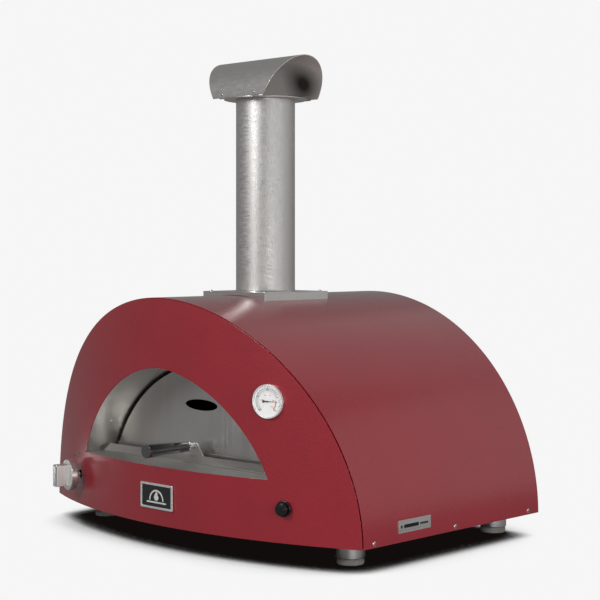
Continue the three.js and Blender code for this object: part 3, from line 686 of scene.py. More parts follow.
def button_head(bm, place, radius, height, across, shank=4 * MM):
    """A button-head screw: a domed head with a hexagonal socket, and a stub of its shank."""
    sides, steps = 36, 6
    crown = pi / 2 * 0.72  # how far up its quarter circle the dome is cut off for the socket's land
    profile = [(radius * 0.45, -shank), (radius * 0.45, 0), (radius, 0)]
    for i in range(steps + 1):
        angle = crown * i / steps
        profile.append((radius * cos(angle), height * sin(angle) / sin(crown)))
    rings = []
    for r, h in profile:
        rings.append([bm.verts.new(place @ Vector((x, y, h))) for x, y in circle((0, 0), r, sides)])
    for a, b in zip(rings, rings[1:]):
        for i in range(sides):
            j = (i + 1) % sides
            bm.faces.new([a[i], a[j], b[j], b[i]])
    bm.faces.new(rings[0][::-1])
    top = hex_socket(bm, place @ Matrix.Translation((0, 0, height)), across, height * 0.8)
    for i in range(6):  # the flat land between the dome's last ring and the socket
        ring = [rings[-1][(6 * i + k) % sides] for k in range(7)]
        bm.faces.new([top[i], *ring, top[(i + 1) % 6]])


def screws():
    """The six side screws, then the small ones that hold the rear panel, saddle, cap and collar."""
    for name in sorted(n for n in nodes if n.startswith("side_screw")):
        low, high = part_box(name)
        hand = 1 if high.x > 0 else -1
        seat = (hand * (HALF_WIDTH + GAP), (low.y + high.y) / 2, (low.z + high.z) / 2)
        bm = bmesh.new()
        button_head(bm, facing(seat, (hand, 0, 0)), 5.6 * MM, 2.9 * MM, 3.2 * MM, 5 * MM)
        show(from_bmesh(name.replace("side_screw", "casing_screw"), bm, CHROME), "oven", "chrome", name)

    bm = bmesh.new()
    rim = Bend(shell_outline(9 * MM, UNDERSIDE_Z + 12 * MM))
    for i in range(11):
        seat = rim.at(rim.total * (0.02 + 0.96 * i / 10))
        button_head(bm, facing((seat.x, BACK_Y, seat.y), (0, 1, 0)), 4.6 * MM, 2.4 * MM, 2.6 * MM)
    show(from_bmesh("rear_screws", bm, CHROME), "oven", "chrome")

    low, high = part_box("flue_saddle")
    inset = 12.5 * MM
    bm = bmesh.new()
    for x in (low.x + inset, high.x - inset):
        for y in (low.y + inset, high.y - inset):
            button_head(bm, facing((x, y, high.z), (0, 0, 1)), 4.2 * MM, 2.4 * MM, 2.4 * MM)
    show(from_bmesh("saddle_screws", bm, CHROME), "oven", "chrome")

    low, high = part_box("cap_shell")
    radius = (high.y - low.y) / 2
    z = low.z + 6.8 * MM
    reach = sqrt(radius**2 - (z - high.z + radius) ** 2)
    bm = bmesh.new()
    for x in (-49 * MM, 49 * MM):
        for hand in (-1, 1):
            seat = (x, FLUE_Y + hand * reach, z)
            button_head(bm, facing(seat, (0, hand, 0)), 2.9 * MM, 1.6 * MM, 1.8 * MM, 3 * MM)
    show(from_bmesh("cap_screws", bm, CHROME), "oven", "chrome")

    bm = bmesh.new()
    height = 69 * MM  # over the sill
    x = collar_half_width(height)
    for hand in (-1, 1):
        seat = (hand * x, FRONT_Y - 22 * MM, SILL_Z + height)
        button_head(bm, facing(seat, (-hand, 0, -0.42)), 4 * MM, 2 * MM, 2.2 * MM, 2 * MM)
    show(from_bmesh("collar_screws", bm, CHROME), "oven", "chrome")


def collar_half_width(height):
    """How far the collar's wall is from the middle at a height over the sill, found by halving."""
    low, high = 0.0, 1.0
    for _ in range(40):
        sine = (low + high) / 2
        bulge = (COLLAR["half_width"] - COLLAR["rise"]) * (1 - sine) ** COLLAR["power"]
        if (COLLAR["rise"] + bulge) * sine < height:
            low = sine
        else:
            high = sine
    return height / sine * sqrt(1 - sine**2)


def feet():
    low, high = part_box("foot_sleeve_front_left")
    outer = (high.x - low.x) / 2
    sleeve = rounded([
        (8.4 * MM, low.z), (outer, low.z, 1.6 * MM), (outer, low.z + 21 * MM), (outer, high.z, 1 * MM),
        (0, high.z, 0), (0, 44 * MM, 0), (8.4 * MM, 44 * MM),
    ], 0.5 * MM)
    low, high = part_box("foot_pad_front_left")
    pad = (high.x - low.x) / 2
    lip = 11.9 * MM  # the pad's height below its stud
    foot = rounded([
        (0, 0, 0), (pad - 1 * MM, 0, 1 * MM), (pad, 1.6 * MM), (pad, lip - 2.2 * MM),
        (pad - 2.2 * MM, lip - 2 * MM), (pad - 2.2 * MM, lip), (8 * MM, lip), (8 * MM, 40 * MM),
        (0, 40 * MM, 0),
    ], 0.6 * MM)
    for corner in ("front_left", "front_right", "rear_left", "rear_right"):
        low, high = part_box(f"foot_sleeve_{corner}")
        place = Matrix.Translation(((low.x + high.x) / 2, (low.y + high.y) / 2, 0))
        made = lathe(f"foot_{corner}", sleeve, FOOT_STEEL, place)
        show(made, "oven", "brushed_steel", f"foot_sleeve_{corner}")
        made = lathe(f"levelling_pad_{corner}", foot, PAD, place)
        show(made, f"foot_pad_{corner}", "plain_steel", f"foot_pad_{corner}")


# ---------------------------------------------------------------- mouth and chamber

def ruled(name, sections, material):
    """A closed band through sections of equal length, joined point to point."""
    bm = bmesh.new()
    rings = [[bm.verts.new(p) for p in section] for section in sections]
    for a, b in zip(rings, rings[1:] + rings[:1]):
        for i in range(len(a) - 1):
            bm.faces.new([a[i], a[i + 1], b[i + 1], b[i]])
    for i in (0, -1):
        bm.faces.new([ring[i] for ring in rings])
    return from_bmesh(name, bm, material)


def collar_legs(grow):
    """The collar's arch with a short leg under each foot."""
    arch = opening_outline(COLLAR, grow)
    foot = arch[0][0]
    return [(foot, SILL_Z - SHEET), *arch, (-foot, SILL_Z - SHEET)]


def chamber_outline(bottom):
    """The chamber's arch, with straight legs down to bottom."""
    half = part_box("chamber_dome")[1].x
    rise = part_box("chamber_dome")[1].z - SILL_Z
    arch = []
    for i in range(97):
        angle = pi * i / 96
        arch.append((half * cos(angle), SILL_Z + rise * sin(angle)))
    return [(half, bottom), *arch, (-half, bottom)]


def mouth():
    low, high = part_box("mouth_collar")
    wall_y = high.y - SHEET
    inset = SHEET + GAP
    inner, outer = collar_legs(0), collar_legs(1.6 * MM)
    tunnel = ruled("collar_tunnel", [
        [(x, bow_y(x, inset), z) for x, z in inner],
        [(x, bow_y(x, inset), z) for x, z in outer],
        [(x, wall_y + 1 * MM, z) for x, z in outer],
        [(x, wall_y + 1 * MM, z) for x, z in inner],
    ], COLLAR_STEEL)
    show(tunnel, "oven", "brushed_steel", "mouth_collar")

    # The opening runs out through the wall's lower edge, so the wall is one arch-shaped outline.
    foot = inner[0][0]
    outline = [*chamber_outline(low.z), (-foot, low.z), *inner[::-1], (foot, low.z)]
    probe_x = GAUGE[0] - (wall_y + SHEET - bow_y(GAUGE[0])) * (GAUGE[0] / BOW_RADIUS)
    holes = [circle(centre_of("burner_tube"), 15 * MM, 40),
             circle(centre_of("spark_electrode"), 4.6 * MM, 24), circle((probe_x, GAUGE[1]), 6.5 * MM, 32)]
    wall = plate("chamber_front_wall", [outline, *holes], wall_y, wall_y + SHEET, COLLAR_STEEL)
    show(wall, "oven", "brushed_steel")

    low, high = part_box("landing_plate")
    half = high.x
    front = [(x, bow_y(x, inset)) for x in [-half, *spread(-half, half, 16 * MM), half]]
    landing = plate("landing_floor", [[*front, (half, high.y), (-half, high.y)]], low.z, high.z, LIP_STEEL,
                    place=facing_up)
    show(landing, "oven", "brushed_steel", "landing_plate")


def chamber():
    low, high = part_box("chamber_dome")
    arch = Bend(chamber_outline(low.z)[::-1])
    sheet = [(0, low.y), (arch.total, low.y), (arch.total, high.y), (0, high.y)]
    hole = circle((arch.total / 2, FLUE_Y), 59 * MM, 72)
    dome = plate("dome_skin", [sheet, hole], -SHEET, 0, PLAIN_STEEL, cuts=spread(0, arch.total, 9 * MM),
                 place=rolled(arch))
    show(dome, "oven", "plain_steel", "chamber_dome")

    low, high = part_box("chamber_back")
    back = plate("chamber_back_wall", [chamber_outline(low.z)], low.y, high.y, PLAIN_STEEL)
    show(back, "oven", "plain_steel", "chamber_back")

    for side in ("left", "right"):
        low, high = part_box(f"hearth_tile_{side}")
        outline = rectangle(low.x, high.x, low.y, high.y, 4 * MM)
        tile = plate(f"hearth_stone_{side}", [outline], low.z, high.z, BRICK, edge=2.5 * MM, rounds=3,
                     place=facing_up)
        show(tile, "oven", "firebrick", f"hearth_tile_{side}")


def burner():
    low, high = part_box("burner_tube")
    x, z = centre_of("burner_tube")
    radius = (high.x - low.x) / 2
    bore = radius - 2 * MM
    length = high.y - low.y
    profile = rounded([(bore, 0), (radius, 0), (radius, length, 1.5 * MM), (0, length, 0),
                       (0, length - 2 * MM, 0), (bore, length - 2 * MM)], 0.3 * MM)
    tube = lathe("burner_pipe", profile, PLAIN_STEEL, facing((x, low.y, z), (0, 1, 0)), 48)
    show(tube, "oven", "plain_steel", "burner_tube")

    bm = bmesh.new()
    # The flame ports are near-black discs on the tube: painted shade in place of holes.
    port = rounded(mm((0, 0, 0), (2.6, 0), (2.2, 0.9), (0, 0.9, 0)), 0.2 * MM)
    ports = 26
    for i in range(ports):
        y = low.y + 46 * MM + i * (length - 90 * MM) / (ports - 1)
        add_lathe(bm, port, facing((x + radius - 0.4 * MM, y, z + 4 * MM), (1, 0, 0.3)), 20)
    show(from_bmesh("flame_ports", bm, HOLE_SHADE), "oven", "plain_steel")


# ---------------------------------------------------------------- door

DOOR_TAB_Y = FRONT_Y - 5 * MM  # the front face of the tab that carries the handle


def door():
    low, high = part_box("door_plate")
    outline = rounded(opening_outline(DOOR, 0, low.z), 3 * MM)
    vent_z = 280.6 * MM
    vent = [(49 * MM * x, vent_z + 11.4 * MM * z) for x, z in circle((0, 0), 1, 96)]
    face = plate("door_sheet", [outline, vent], low.y, high.y, DOOR_STEEL, edge=0.5 * MM)
    show(face, "door", "brushed_steel", "door_plate")

    low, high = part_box("door_lip_bracket")
    sheet = 1.6 * MM
    web_y, toe_y, foot_z = high.y, low.y, low.z
    tab_y, lip_top = DOOR_TAB_Y, 179 * MM
    fold = rounded([
        (web_y, 182 * MM), (web_y - sheet, 182 * MM), (web_y - sheet, foot_z + sheet, 1 * MM),
        (toe_y + 4.5 * MM, foot_z + sheet, 0.3 * MM), (tab_y + sheet, lip_top - 1 * MM, 1 * MM),
        (tab_y + sheet, lip_top), (tab_y, lip_top, 1 * MM), (toe_y, foot_z + sheet, 1 * MM),
        (toe_y, foot_z, 0.5 * MM), (web_y, foot_z, 2 * MM),
    ], 0.3 * MM)
    bm = bmesh.new()
    add_plate(bm, [fold], low.x, high.x, edge=0.5 * MM, place=facing_side)
    crown = 21 * MM
    flare = [(42 * MM, lip_top - 0.8 * MM), (30 * MM, lip_top + 1 * MM), (27 * MM, lip_top + 5 * MM),
             (25 * MM, lip_top + 10 * MM)]
    tab = [*flare, *arc((0, high.z - crown), crown, 20, 160, 20), *[(-x, z) for x, z in flare[::-1]]]
    add_plate(bm, [tab], tab_y, tab_y + sheet, edge=0.4 * MM)
    show(from_bmesh("door_lip", bm, LIP_STEEL), "door", "brushed_steel", "door_lip_bracket")


def handle():
    """The door's handle: a chrome ring, a tapered grip and its end cap."""
    place = facing((0, DOOR_TAB_Y, centre_of("door_handle_ring")[1]), (0, -1, 0))
    reach = DOOR_TAB_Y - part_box("door_handle_cap")[0].y
    ring = rounded([
        (0, GAP, 0), (6 * MM, GAP),
        *mm((6, 13), (10.7, 13, 0.8), (10.7, 17, 0.8), (4, 17), (4, 40), (0, 40, 0)),
    ], 0.4 * MM)
    show(lathe("handle_collar", ring, CHROME, place), "door", "chrome", "door_handle_ring")
    grip = rounded([
        *mm((4.3, 17.3), (10.1, 17.3, 1.2), (10.9, 40, 60)), (13.6 * MM, reach - 12 * MM, 30 * MM),
        (13.6 * MM, reach - 2.3 * MM, 1.2 * MM), (0, reach - 2.3 * MM, 0), *mm((0, 41, 0), (4.3, 41)),
    ], 0.4 * MM, 8)
    show(lathe("handle_grip", grip, GRIP, place), "door", "black_plastic", "door_handle")
    cap = rounded([
        (0, reach - 2 * MM, 0), (13.4 * MM, reach - 2 * MM), (13.4 * MM, reach, 0.9 * MM),
        (4 * MM, reach, 0.5 * MM), (3.4 * MM, reach - 0.6 * MM, 0.3 * MM), (0, reach - 0.6 * MM, 0),
    ], 0.3 * MM)
    show(lathe("handle_end", cap, GREY, place), "door", "grey_plastic", "door_handle_cap")


# ---------------------------------------------------------------- controls

def knob():
    place = on_panel(KNOB)
    bm = bmesh.new()
    disc = mm((0, 17, 0), (29, 17, 1), (30.5, 18.4, 0.6), (33.5, 18.4, 1.2), (33.5, 31.5, 1.4), (0, 31.5, 0))
    add_lathe(bm, rounded(disc, 1 * MM), place, 128)
    # The grip bar: its face is rounded where the fingers push it.
    bar = rounded(mm((-11, 30, 0), (11, 30, 0), (11, 60.5, 4.5), (-11, 60.5, 4.5)), 0, 8)
    half = 23.25 * MM
    add_plate(bm, [bar], -half, half, edge=1.5 * MM, rounds=4,
              place=lambda u, v, w: place @ Vector((u, w, v)))
    show(from_bmesh("gas_knob", bm, KNOB_STEEL), "control_knob", "brushed_steel", "control_knob")
    stem = mm((0, -23.7, 0), (4.5, -23.7), (4.5, 3, 1), (3.4, 4.5), (3.4, 6), (4.5, 7.5, 1), (4.5, 26.7),
              (0, 26.7, 0))
    stem = lathe("knob_stem", rounded(stem, 0.5 * MM), CHROME, place, 48)
    show(stem, "control_knob", "chrome", "valve_stem")

    # Two pin holes above the knob, drawn as near-black discs: painted shade in place of the holes.
    bm = bmesh.new()
    dot = rounded(mm((0, -1, 0), (2.7, -1), (2.7, 0.15), (0, 0.15, 0)), 0.1 * MM)
    for spot in mm((-348, 149), (-316, 158)):
        add_lathe(bm, dot, on_panel(spot), 24)
    show(from_bmesh("pin_hole_shade_discs", bm, HOLE_SHADE), "oven", "black_plastic")


def igniter():
    place = on_panel(IGNITER)
    housing = rounded([
        *mm((0, -42, 0), (10.6, -42)), (10.6 * MM, GAP), (15.5 * MM, GAP, 0.8 * MM),
        *mm((15.5, 7, 1.4), (12.8, 7, 0.5), (12.8, 1.6), (6.5, 1.6), (6.5, -14), (0, -14, 0)),
    ], 0.3 * MM)
    show(lathe("igniter_bezel", housing, BLACK, place), "oven", "black_plastic", "igniter_housing")

    bm = bmesh.new()
    button = mm((0, -6, 0), (6, -6), (6, 7.2), (12.3, 7.2, 0.8), (12.3, 16.6, 2), (8.4, 16.9, 0.4),
                (8, 17.6, 0.4), (0, 17.6, 0))
    add_lathe(bm, rounded(button, 0.5 * MM), place)
    rib = rectangle(11.9 * MM, 12.5 * MM, -0.55 * MM, 0.55 * MM, 0.25 * MM)
    ribs = 24
    for i in range(ribs):  # the knurled grip round the button's side
        turn = place @ Matrix.Rotation(2 * pi * i / ribs, 4, "Z")
        add_plate(bm, [rib], 8.6 * MM, 14.4 * MM, edge=0.2 * MM, place=seated(turn))
    show(from_bmesh("igniter_push_button", bm, BLACK), "igniter_button", "black_plastic", "igniter_button")


# ---------------------------------------------------------------- dial

DIAL_START, DIAL_END = 225, -45  # degrees round the dial, anticlockwise from three o'clock
INK_LOW, INK_HIGH = 5.2 * MM, 5.26 * MM


def gauge():
    place = on_panel(GAUGE)
    case = rounded([
        *mm((0, -128, 0), (4, -128, 1.5), (4, -22), (26, -22, 2)), (26 * MM, GAP), (32.6 * MM, GAP, 0.5 * MM),
        *mm((32.6, 8, 1.6), (30.4, 8, 0.6), (30.4, 4.4), (0, 4.4, 0)),
    ], 0.3 * MM)
    show(lathe("gauge_bezel", case, BEZEL, place, 128), "oven", "chrome", "gauge_case")
    disc = rounded(mm((0, 4.7, 0), (30, 4.7), (30, 5.2), (0, 5.2, 0)), 0.1 * MM)
    show(lathe("gauge_face", disc, DIAL, place), "oven", "dial_white", "gauge_dial")
    pane = rounded(mm((0, 6.8, 0), (30, 6.8), (30, 7.5), (0, 7.5, 0)), 0.1 * MM)
    show(lathe("gauge_pane", pane, GLASS, place), "oven", "clear_glass", "gauge_glass")
    gauge_scales(place)
    gauge_numbers(place, "outer", range(100, 901, 200), 22.3, 4.2, DIAL_DARK)
    gauge_numbers(place, "inner", range(0, 501, 100), 13.2, 3.6, DIAL_RED)

    bm = bmesh.new()
    hand = mm((-11, -3), (-10.4, -3.2), (-3, -1), (-1.6, -1.6), (1.6, -1.6), (3, -0.8), (22.6, -0.25),
              (23, 0), (22.6, 0.25), (3, 0.8), (1.6, 1.6), (-1.6, 1.6), (-3, 1), (-10.4, 3.2), (-11, 3))
    add_plate(bm, [hand], 5.5 * MM, 6.1 * MM, edge=0.1 * MM, rounds=1, place=seated(place))
    show(from_bmesh("gauge_hand", bm, NEEDLE), "gauge_needle", "black_plastic", "gauge_needle")
    hub = rounded(mm((0, 6.1, 0), (1.9, 6.1), (1.9, 6.6, 0.3), (0, 6.6, 0)), 0.05 * MM)
    show(lathe("gauge_hub", hub, BRASS, place, 32), "gauge_needle", "brass")


def gauge_scales(place):
    """The printed bands, the dark outer scale and the red inner one."""
    def ring_sector(bm, inner, outer, first, last, high=INK_HIGH):
        steps = max(int(abs(first - last) / 3), 2)
        loop = arc((0, 0), outer * MM, last, first, steps) + arc((0, 0), inner * MM, first, last, steps)
        add_plate(bm, [loop], INK_LOW, high, edge=0.01 * MM, rounds=1, place=seated(place))

    band, hot, dark, red = bmesh.new(), bmesh.new(), bmesh.new(), bmesh.new()
    ring_sector(band, 19.6, 25.2, 232, 30)
    ring_sector(hot, 17.6, 20.2, 4, -46, INK_HIGH + 0.03 * MM)
    ring_sector(dark, 25.4, 25.8, 226, 40)
    for bm, inner, outer, marks, long_by in ((dark, 25.8, 27.4, 50, 5), (red, 17.4, 18.6, 40, 4)):
        for i in range(marks + 1):
            angle = DIAL_START + (DIAL_END - DIAL_START) * i / marks
            longer = 1.2 if i % long_by == 0 else 0
            width = 0.9 if longer else 0.5
            ring_sector(bm, inner - longer, outer, angle + width, angle - width)
    for name, bm, ink in (("gauge_outer_band", band, DIAL_BAND), ("gauge_hot_band", hot, DIAL_AMBER),
                          ("gauge_dark_scale", dark, DIAL_DARK), ("gauge_red_scale", red, DIAL_RED)):
        show(from_bmesh(name, bm, ink), "oven", "dial_white")


def gauge_numbers(place, title, values, radius, size, ink):
    """A ring of plain numbers. The radius and the letters' height are in millimetres."""
    for i, value in enumerate(values):
        angle = radians(DIAL_START + (DIAL_END - DIAL_START) * (i / (len(values) - 1)))
        text = bpy.data.curves.new(f"{title}_{value}", "FONT")
        text.body = str(value)
        text.size = size * MM
        text.align_x, text.align_y = "CENTER", "CENTER"
        text.extrude = 0.03 * MM
        name = f"gauge_number_{title}_{value}"
        label = bpy.data.objects.new(name, text)
        bpy.context.scene.collection.objects.link(label)
        bpy.context.view_layer.update()
        mesh = bpy.data.meshes.new_from_object(label.evaluated_get(bpy.context.evaluated_depsgraph_get()))
        bpy.data.objects.remove(label)
        spot = (radius * MM * cos(angle), radius * MM * sin(angle), INK_HIGH)
        mesh.transform(place @ Matrix.Translation(spot))
        mesh.materials.clear()
        mesh.materials.append(ink)
        number = bpy.data.objects.new(name, mesh)
        bpy.context.scene.collection.objects.link(number)
        show(number, "oven", "dial_white")


# ---------------------------------------------------------------- badge and label

def badge():
    flat = seated(on_panel(BADGE))
    low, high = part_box("badge_frame")
    half_width, half_height = (high.x - low.x) / 2, (high.z - low.z) / 2

    def panel(inset, radius):
        x, z = half_width - inset, half_height - inset
        return rectangle(-x, x, -z, z, radius)

    rim = 4.6 * MM
    made = plate("badge_rim", [panel(0, 2.5 * MM), panel(rim, 1 * MM)], GAP, 4 * MM, FRAME_SILVER,
                 edge=0.9 * MM, rounds=3, place=flat)
    show(made, "oven", "brushed_steel", "badge_frame")
    made = plate("badge_face", [panel(rim + GAP, 0.8 * MM)], GAP, 2.6 * MM, CHARCOAL, edge=0.2 * MM,
                 place=flat)
    show(made, "oven", "badge_black", "badge_plate")

    # A plain emblem: an arch with a flame under it, standing on a bar.
    foot = (0, -9 * MM)
    arch = [*arc(foot, 22 * MM, 0, 180, 40), *arc(foot, 18.6 * MM, 180, 0, 40)]
    bar = rectangle(-30 * MM, 30 * MM, -14.2 * MM, -11 * MM, 1.2 * MM)
    flame = rounded(mm((0, 10.5), (-2.5, 6), (-6.2, 1.2), (-7.2, -3.5), (-4.8, -7.6), (0, -9), (4.8, -7.6),
                       (7.2, -3.5), (5.6, 0.2), (3.4, 2), (3.2, 5.6)), 2 * MM)
    bm = bmesh.new()
    for loop in (arch, bar, flame):
        add_plate(bm, [loop], 2.6 * MM, 3.3 * MM, edge=0.2 * MM, rounds=1, place=flat)
    show(from_bmesh("badge_emblem", bm, SILVER_PRINT), "oven", "brushed_steel")


def side_label():
    low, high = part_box("side_label")
    outline = rectangle(low.y, high.y, low.z, high.z, 1.5 * MM)
    made = plate("side_plate", [outline], low.x, high.x, LABEL_STEEL, edge=0.4 * MM, place=facing_side)
    show(made, "oven", "brushed_steel", "side_label")
    # Plain marks in place of lettering: a dot, a broad bar and a thin one.
    middle = (low.z + high.z) / 2

    def bar(start, end, half, radius):
        return rectangle(low.y + start, low.y + end, middle - half, middle + half, radius)

    marks = ((circle((low.y + 9 * MM, middle), 3.2 * MM, 32), DIAL_DARK),
             (bar(16 * MM, 60 * MM, 3.4 * MM, 1.5 * MM), NEEDLE),
             (bar(64 * MM, 88 * MM, 2 * MM, 1 * MM), DIAL_DARK))
    face, top = high.x - 0.1 * MM, high.x + 0.05 * MM
    for i, (loop, ink) in enumerate(marks):
        made = plate(f"side_plate_mark_{i}", [loop], face, top, ink, edge=0.02 * MM, rounds=1,
                     place=facing_side)
        show(made, "oven", "badge_black")


# ---------------------------------------------------------------- chimney

def saddle():
    low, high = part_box("flue_saddle")
    half = high.x - 0.3 * MM

    def clear_of_casing(x):
        """The height of a point just over the casing's crown."""
        angle = acos(x / (HALF_WIDTH - CROWN_DROP))
        return SPRING_Z + shell_radius(angle) * sin(angle) + GAP

    bm = bmesh.new()
    top = rectangle(low.x, high.x, low.y, high.y, 0.8 * MM)
    hole = circle((0, FLUE_Y), PIPE_RADIUS + 0.6 * MM, 128)
    add_plate(bm, [top, hole], high.z - SHEET, high.z, edge=0.5 * MM, place=facing_up)
    # The front and rear skirts are arched over the crown, with room for the sheet to seat.
    lower = [(x, clear_of_casing(x) + 2.2 * MM * (1 - (x / high.x) ** 2))
             for x in [-half, *spread(-high.x, high.x, 8 * MM), half]]
    skirt = [*lower, (half, high.z - 0.5 * MM), (-half, high.z - 0.5 * MM)]
    for y0, y1 in ((low.y + 0.1 * MM, low.y + SHEET), (high.y - SHEET, high.y - 0.1 * MM)):
        add_plate(bm, [skirt], y0, y1, edge=0.3 * MM)
    trim = 0.3 * MM
    side = rectangle(low.y + trim, high.y - trim, clear_of_casing(high.x), high.z - 0.5 * MM, trim)
    for x0, x1 in ((low.x + 0.1 * MM, low.x + SHEET), (high.x - SHEET, high.x - 0.1 * MM)):
        add_plate(bm, [side], x0, x1, edge=0.3 * MM, place=facing_side)
    show(from_bmesh("saddle_cover", bm, SADDLE_STEEL), "oven", "brushed_steel", "flue_saddle")


def pipe():
    centre = Matrix.Translation((0, FLUE_Y, 0))
    inner = PIPE_RADIUS - PIPE_WALL
    profile = rounded([(inner, pipe_low.z), (PIPE_RADIUS, pipe_low.z), (PIPE_RADIUS, pipe_high.z, 0.5 * MM),
                       (inner, pipe_high.z)], 0.4 * MM)
    show(lathe("chimney_pipe", profile, PIPE_STEEL, centre, 160), "oven", "brushed_steel", "flue_pipe")
    # The rolled bead that seals the pipe where it leaves the saddle.
    foot_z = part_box("flue_saddle")[1].z
    bead = []
    for degrees in range(-10, 191, 20):
        angle = radians(degrees)
        out = 0.2 * MM + 3.2 * MM * cos(angle)
        bead.append((PIPE_RADIUS + out, foot_z + 2.4 * MM * max(sin(angle), -0.1)))
    show(lathe("pipe_base_bead", bead, CHROME_SATIN, centre, 128), "oven", "brushed_steel")


def cap():
    """The cap's base, which drops into the pipe, then its half-round hood and a thin sheet inside it that
    carries painted shade.
    """
    low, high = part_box("cap_base")
    disc_radius = (high.x - low.x) / 2
    hood_low, hood_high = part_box("cap_shell")
    hood_radius = (hood_high.y - hood_low.y) / 2
    wall = 1.6 * MM
    sleeve = PIPE_RADIUS - PIPE_WALL - 0.4 * MM
    disc_high = hood_low.z - GAP
    disc_low = disc_high - SHEET
    bm = bmesh.new()
    bore = sleeve - 1.5 * MM
    base = rounded([(bore, low.z), (sleeve, low.z), (sleeve, disc_low), (disc_radius, disc_low, 0.6 * MM),
                    (disc_radius, disc_high, 0.6 * MM), (bore, disc_high)], 0.3 * MM)
    add_lathe(bm, base, Matrix.Translation((0, FLUE_Y, 0)), 128)
    face = hood_radius - wall - 2 * GAP
    flange = rectangle(-60 * MM, 60 * MM, disc_low + 0.2 * MM, disc_high + 9 * MM, 1 * MM)
    for y0, y1 in ((face - 2 * MM, face), (-face, -face + 2 * MM)):
        add_plate(bm, [flange], FLUE_Y + y0, FLUE_Y + y1, edge=0.3 * MM)
    show(from_bmesh("cap_disc", bm, CAP_STEEL), "oven", "brushed_steel", "cap_base")

    # The hood is rolled from a sheet whose ends are cut on the slant.
    centre_z = hood_high.z - hood_radius
    half_length, slant = 78.3 * MM, 0.544
    section = []
    for i in range(97):
        angle = pi * i / 96
        section.append((-hood_radius * cos(angle), centre_z + hood_radius * sin(angle)))
    arch = Bend([(-hood_radius, hood_low.z), *section, (hood_radius, hood_low.z)])

    def sheet(inset):
        """The unrolled sheet, its slanted ends moved in by inset."""
        steps = 120
        ends = []
        for i in range(steps + 1):
            u = arch.total * i / steps
            ends.append((u, half_length + (arch.at(u).y - hood_low.z) * slant - inset))
        return [*[(u, -x) for u, x in ends], *[(u, x) for u, x in ends[::-1]]]

    def roll(u, v, depth):
        """Rolls a sheet round the hood; depth counts inwards from the hood's outside."""
        spot = arch.at(u, depth)
        return v, FLUE_Y + spot.x, spot.y

    cuts = spread(0, arch.total, 5 * MM)
    hood = plate("cap_hood", [sheet(0)], -wall, 0, CAP_STEEL, edge=0.5 * MM, cuts=cuts,
                 place=lambda u, v, w: roll(u, v, -w))
    show(hood, "oven", "brushed_steel", "cap_shell")
    # A thin dull sheet inside the hood, darkened round a spot high up: painted shade.
    hood_shade = stained_steel((42 * MM, FLUE_Y + 0.92 * hood_radius, centre_z + 32 * MM))
    shade_sheet = plate("cap_shade_sheet", [sheet(0.8 * MM)], wall, wall + 0.25 * MM, hood_shade, edge=0.05 * MM,
                   rounds=1, cuts=cuts, place=roll)
    show(shade_sheet, "oven", "brushed_steel")


def gas_inlet():
    low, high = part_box("gas_inlet_fitting")
    x, z = centre_of("gas_inlet_fitting")
    place = facing((x, 0, z), (0, 1, 0))
    pitch = 1.4 * MM
    start = BACK_Y + 8 * MM
    threads = []
    for i in range(int((high.y - 1.4 * MM - start) / pitch)):
        threads += [(7 * MM, start + i * pitch + 0.5 * MM), (6.3 * MM, start + (i + 1) * pitch)]
    profile = [(0, low.y), (7.6 * MM, low.y), (8 * MM, low.y + 0.5 * MM), (8 * MM, BACK_Y + 1 * MM),
               (6.3 * MM, BACK_Y + 6 * MM), (6.3 * MM, start), *threads, (6 * MM, high.y), (4 * MM, high.y),
               (4 * MM, BACK_Y - 20 * MM), (0, BACK_Y - 20 * MM)]
    bm = bmesh.new()
    add_lathe(bm, profile, place, 64)
    nut = arc((0, 0), 13 * MM, 30, 330, 5)
    add_plate(bm, [rounded(nut, 1 * MM)], BACK_Y + GAP, BACK_Y + 6 * MM, edge=0.6 * MM, place=seated(place))
    show(from_bmesh("gas_nipple", bm, BRASS), "oven", "brass", "gas_inlet_fitting")


casing()
screws()
feet()
mouth()
chamber()
burner()
door()
handle()
knob()
igniter()
gauge()
badge()
side_label()
saddle()
pipe()
cap()
gas_inlet()

# What stays of the CAD model: the inner pieces, each with its own finish.
KEPT = {
    "hearth_tray": PLAIN_STEEL, "support_rail_left": PLAIN_STEEL, "support_rail_right": PLAIN_STEEL,
    "burner_guard": PLAIN_STEEL, "mixing_tube": PLAIN_STEEL, "flue_spigot": PLAIN_STEEL,
    "dome_insulation": BLANKET, "rear_insulation": BLANKET, "floor_insulation": BLANKET,
    "gas_valve_body": BRASS, "valve_plunger": BRASS, "gas_supply_pipe": BRASS,
    "spark_electrode": CERAMIC, "ignition_lead": LEAD,
}
for name, finish in KEPT.items():
    kept = nodes[name].data.materials
    kept.clear()
    kept.append(finish)


# ---------------------------------------------------------------- stage, light and camera

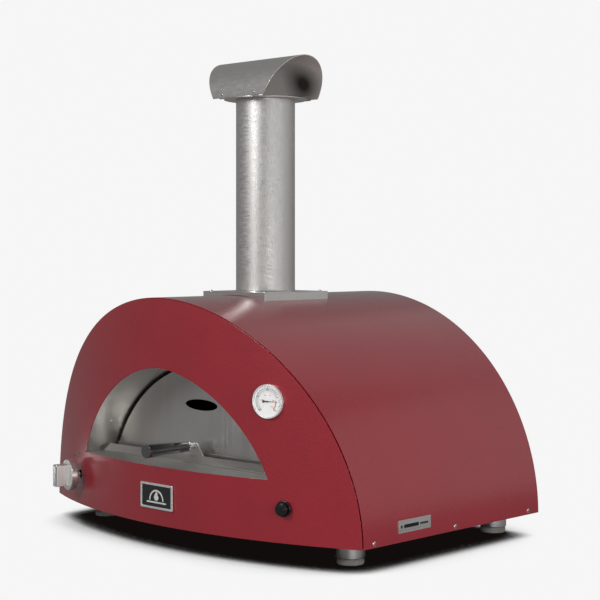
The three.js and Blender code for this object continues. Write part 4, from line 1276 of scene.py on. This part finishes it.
def stage():
    """A flat pale floor and backdrop. The floor darkens where the oven shades it from the sky."""
    floor = bpy.data.meshes.new("floor")
    size = 30
    corners = [(-size, -size, 0), (size, -size, 0), (size, size, 0), (-size, size, 0)]
    floor.from_pydata(corners, [], [(0, 1, 2, 3)])
    made = bpy.data.objects.new("floor", floor)
    bpy.context.scene.collection.objects.link(made)
    paper = bpy.data.materials.new("floor_pale")
    paper.use_nodes = True
    tree = paper.node_tree
    tree.nodes.clear()
    sky = tree.nodes.new("ShaderNodeAmbientOcclusion")
    sky.samples = 16
    sky.inputs["Distance"].default_value = 0.3
    ramp = tree.nodes.new("ShaderNodeValToRGB")
    dark, pale = ramp.color_ramp.elements
    dark.position, dark.color = 0.3, (0.006, 0.004, 0.004, 1)
    pale.position, pale.color = 0.64, (PALE, PALE, PALE, 1)
    tree.links.new(sky.outputs["AO"], ramp.inputs["Fac"])
    glow = tree.nodes.new("ShaderNodeEmission")
    tree.links.new(ramp.outputs["Color"], studio_glow(tree, glow, FLOOR_GLOW))
    out = tree.nodes.new("ShaderNodeOutputMaterial")
    tree.links.new(glow.outputs["Emission"], out.inputs["Surface"])
    floor.materials.append(paper)

    world = bpy.data.worlds.new("studio")
    bpy.context.scene.world = world
    world.use_nodes = True
    back = world.node_tree.nodes["Background"]
    back.inputs["Color"].default_value = (PALE, PALE, PALE, 1)
    studio_glow(world.node_tree, back, SKY_GLOW)


def studio_glow(tree, glow, share):
    """Seen straight on, the paper has its full brightness; it lights the oven with only a share of it."""
    path = tree.nodes.new("ShaderNodeLightPath")
    level = tree.nodes.new("ShaderNodeMapRange")
    level.inputs["To Min"].default_value = share
    level.inputs["To Max"].default_value = 1
    tree.links.new(path.outputs["Is Camera Ray"], level.inputs["Value"])
    tree.links.new(level.outputs["Result"], glow.inputs["Strength"])
    return glow.inputs["Color"]


def softbox(name, azimuth, elevation, distance, width, height, power, target=(0, 0, 0.4), glossy=True):
    """A rectangular light on a bearing from the front (-Y), turning towards +X, aimed at target."""
    a, e = radians(azimuth), radians(elevation)
    way = Vector((sin(a) * cos(e), -cos(a) * cos(e), sin(e)))
    lamp = bpy.data.lights.new(name, "AREA")
    lamp.shape = "RECTANGLE"
    lamp.size, lamp.size_y = width, height
    lamp.energy = power
    made = bpy.data.objects.new(name, lamp)
    bpy.context.scene.collection.objects.link(made)
    made.location = Vector(target) + way * distance
    made.rotation_mode = "QUATERNION"
    made.rotation_quaternion = way.to_track_quat("Z", "Y")
    made.visible_camera = False
    made.visible_glossy = glossy


def camera():
    view = bpy.data.cameras.new("view")
    made = bpy.data.objects.new("view", view)
    bpy.context.scene.collection.objects.link(made)
    view.sensor_width = 36
    view.lens = 88.967
    view.shift_y = -0.08755
    view.clip_end = 60
    made.location = (2.29746, -2.26783, 0.60793)
    made.rotation_euler = (radians(90), 0, radians(44.273))
    bpy.context.scene.camera = made


PALE = 0.9216
SKY_GLOW = 0.25
FLOOR_GLOW = 0.2
stage()
softbox("main", 84, 4, 4.4, 4.8, 2.4, 30)
softbox("main_soft", 66, 4, 4.4, 4.2, 2.4, 76, glossy=False)
softbox("key", -1, 27, 3.6, 0.55, 1.3, 50)
softbox("right", 132, 13, 3.8, 3.4, 2.8, 8.5)
softbox("back", 180, 42, 4.0, 3.0, 2.0, 3.4)
softbox("low", 60, -2, 2.4, 1.6, 0.4, 5.5, target=(0, 0, 0.25))
softbox("glint", -78, -8, 0.9, 0.08, 0.06, 0.07, target=(-0.25, -0.296, 0.144))
camera()
bpy.context.scene.view_settings.view_transform = "Standard"
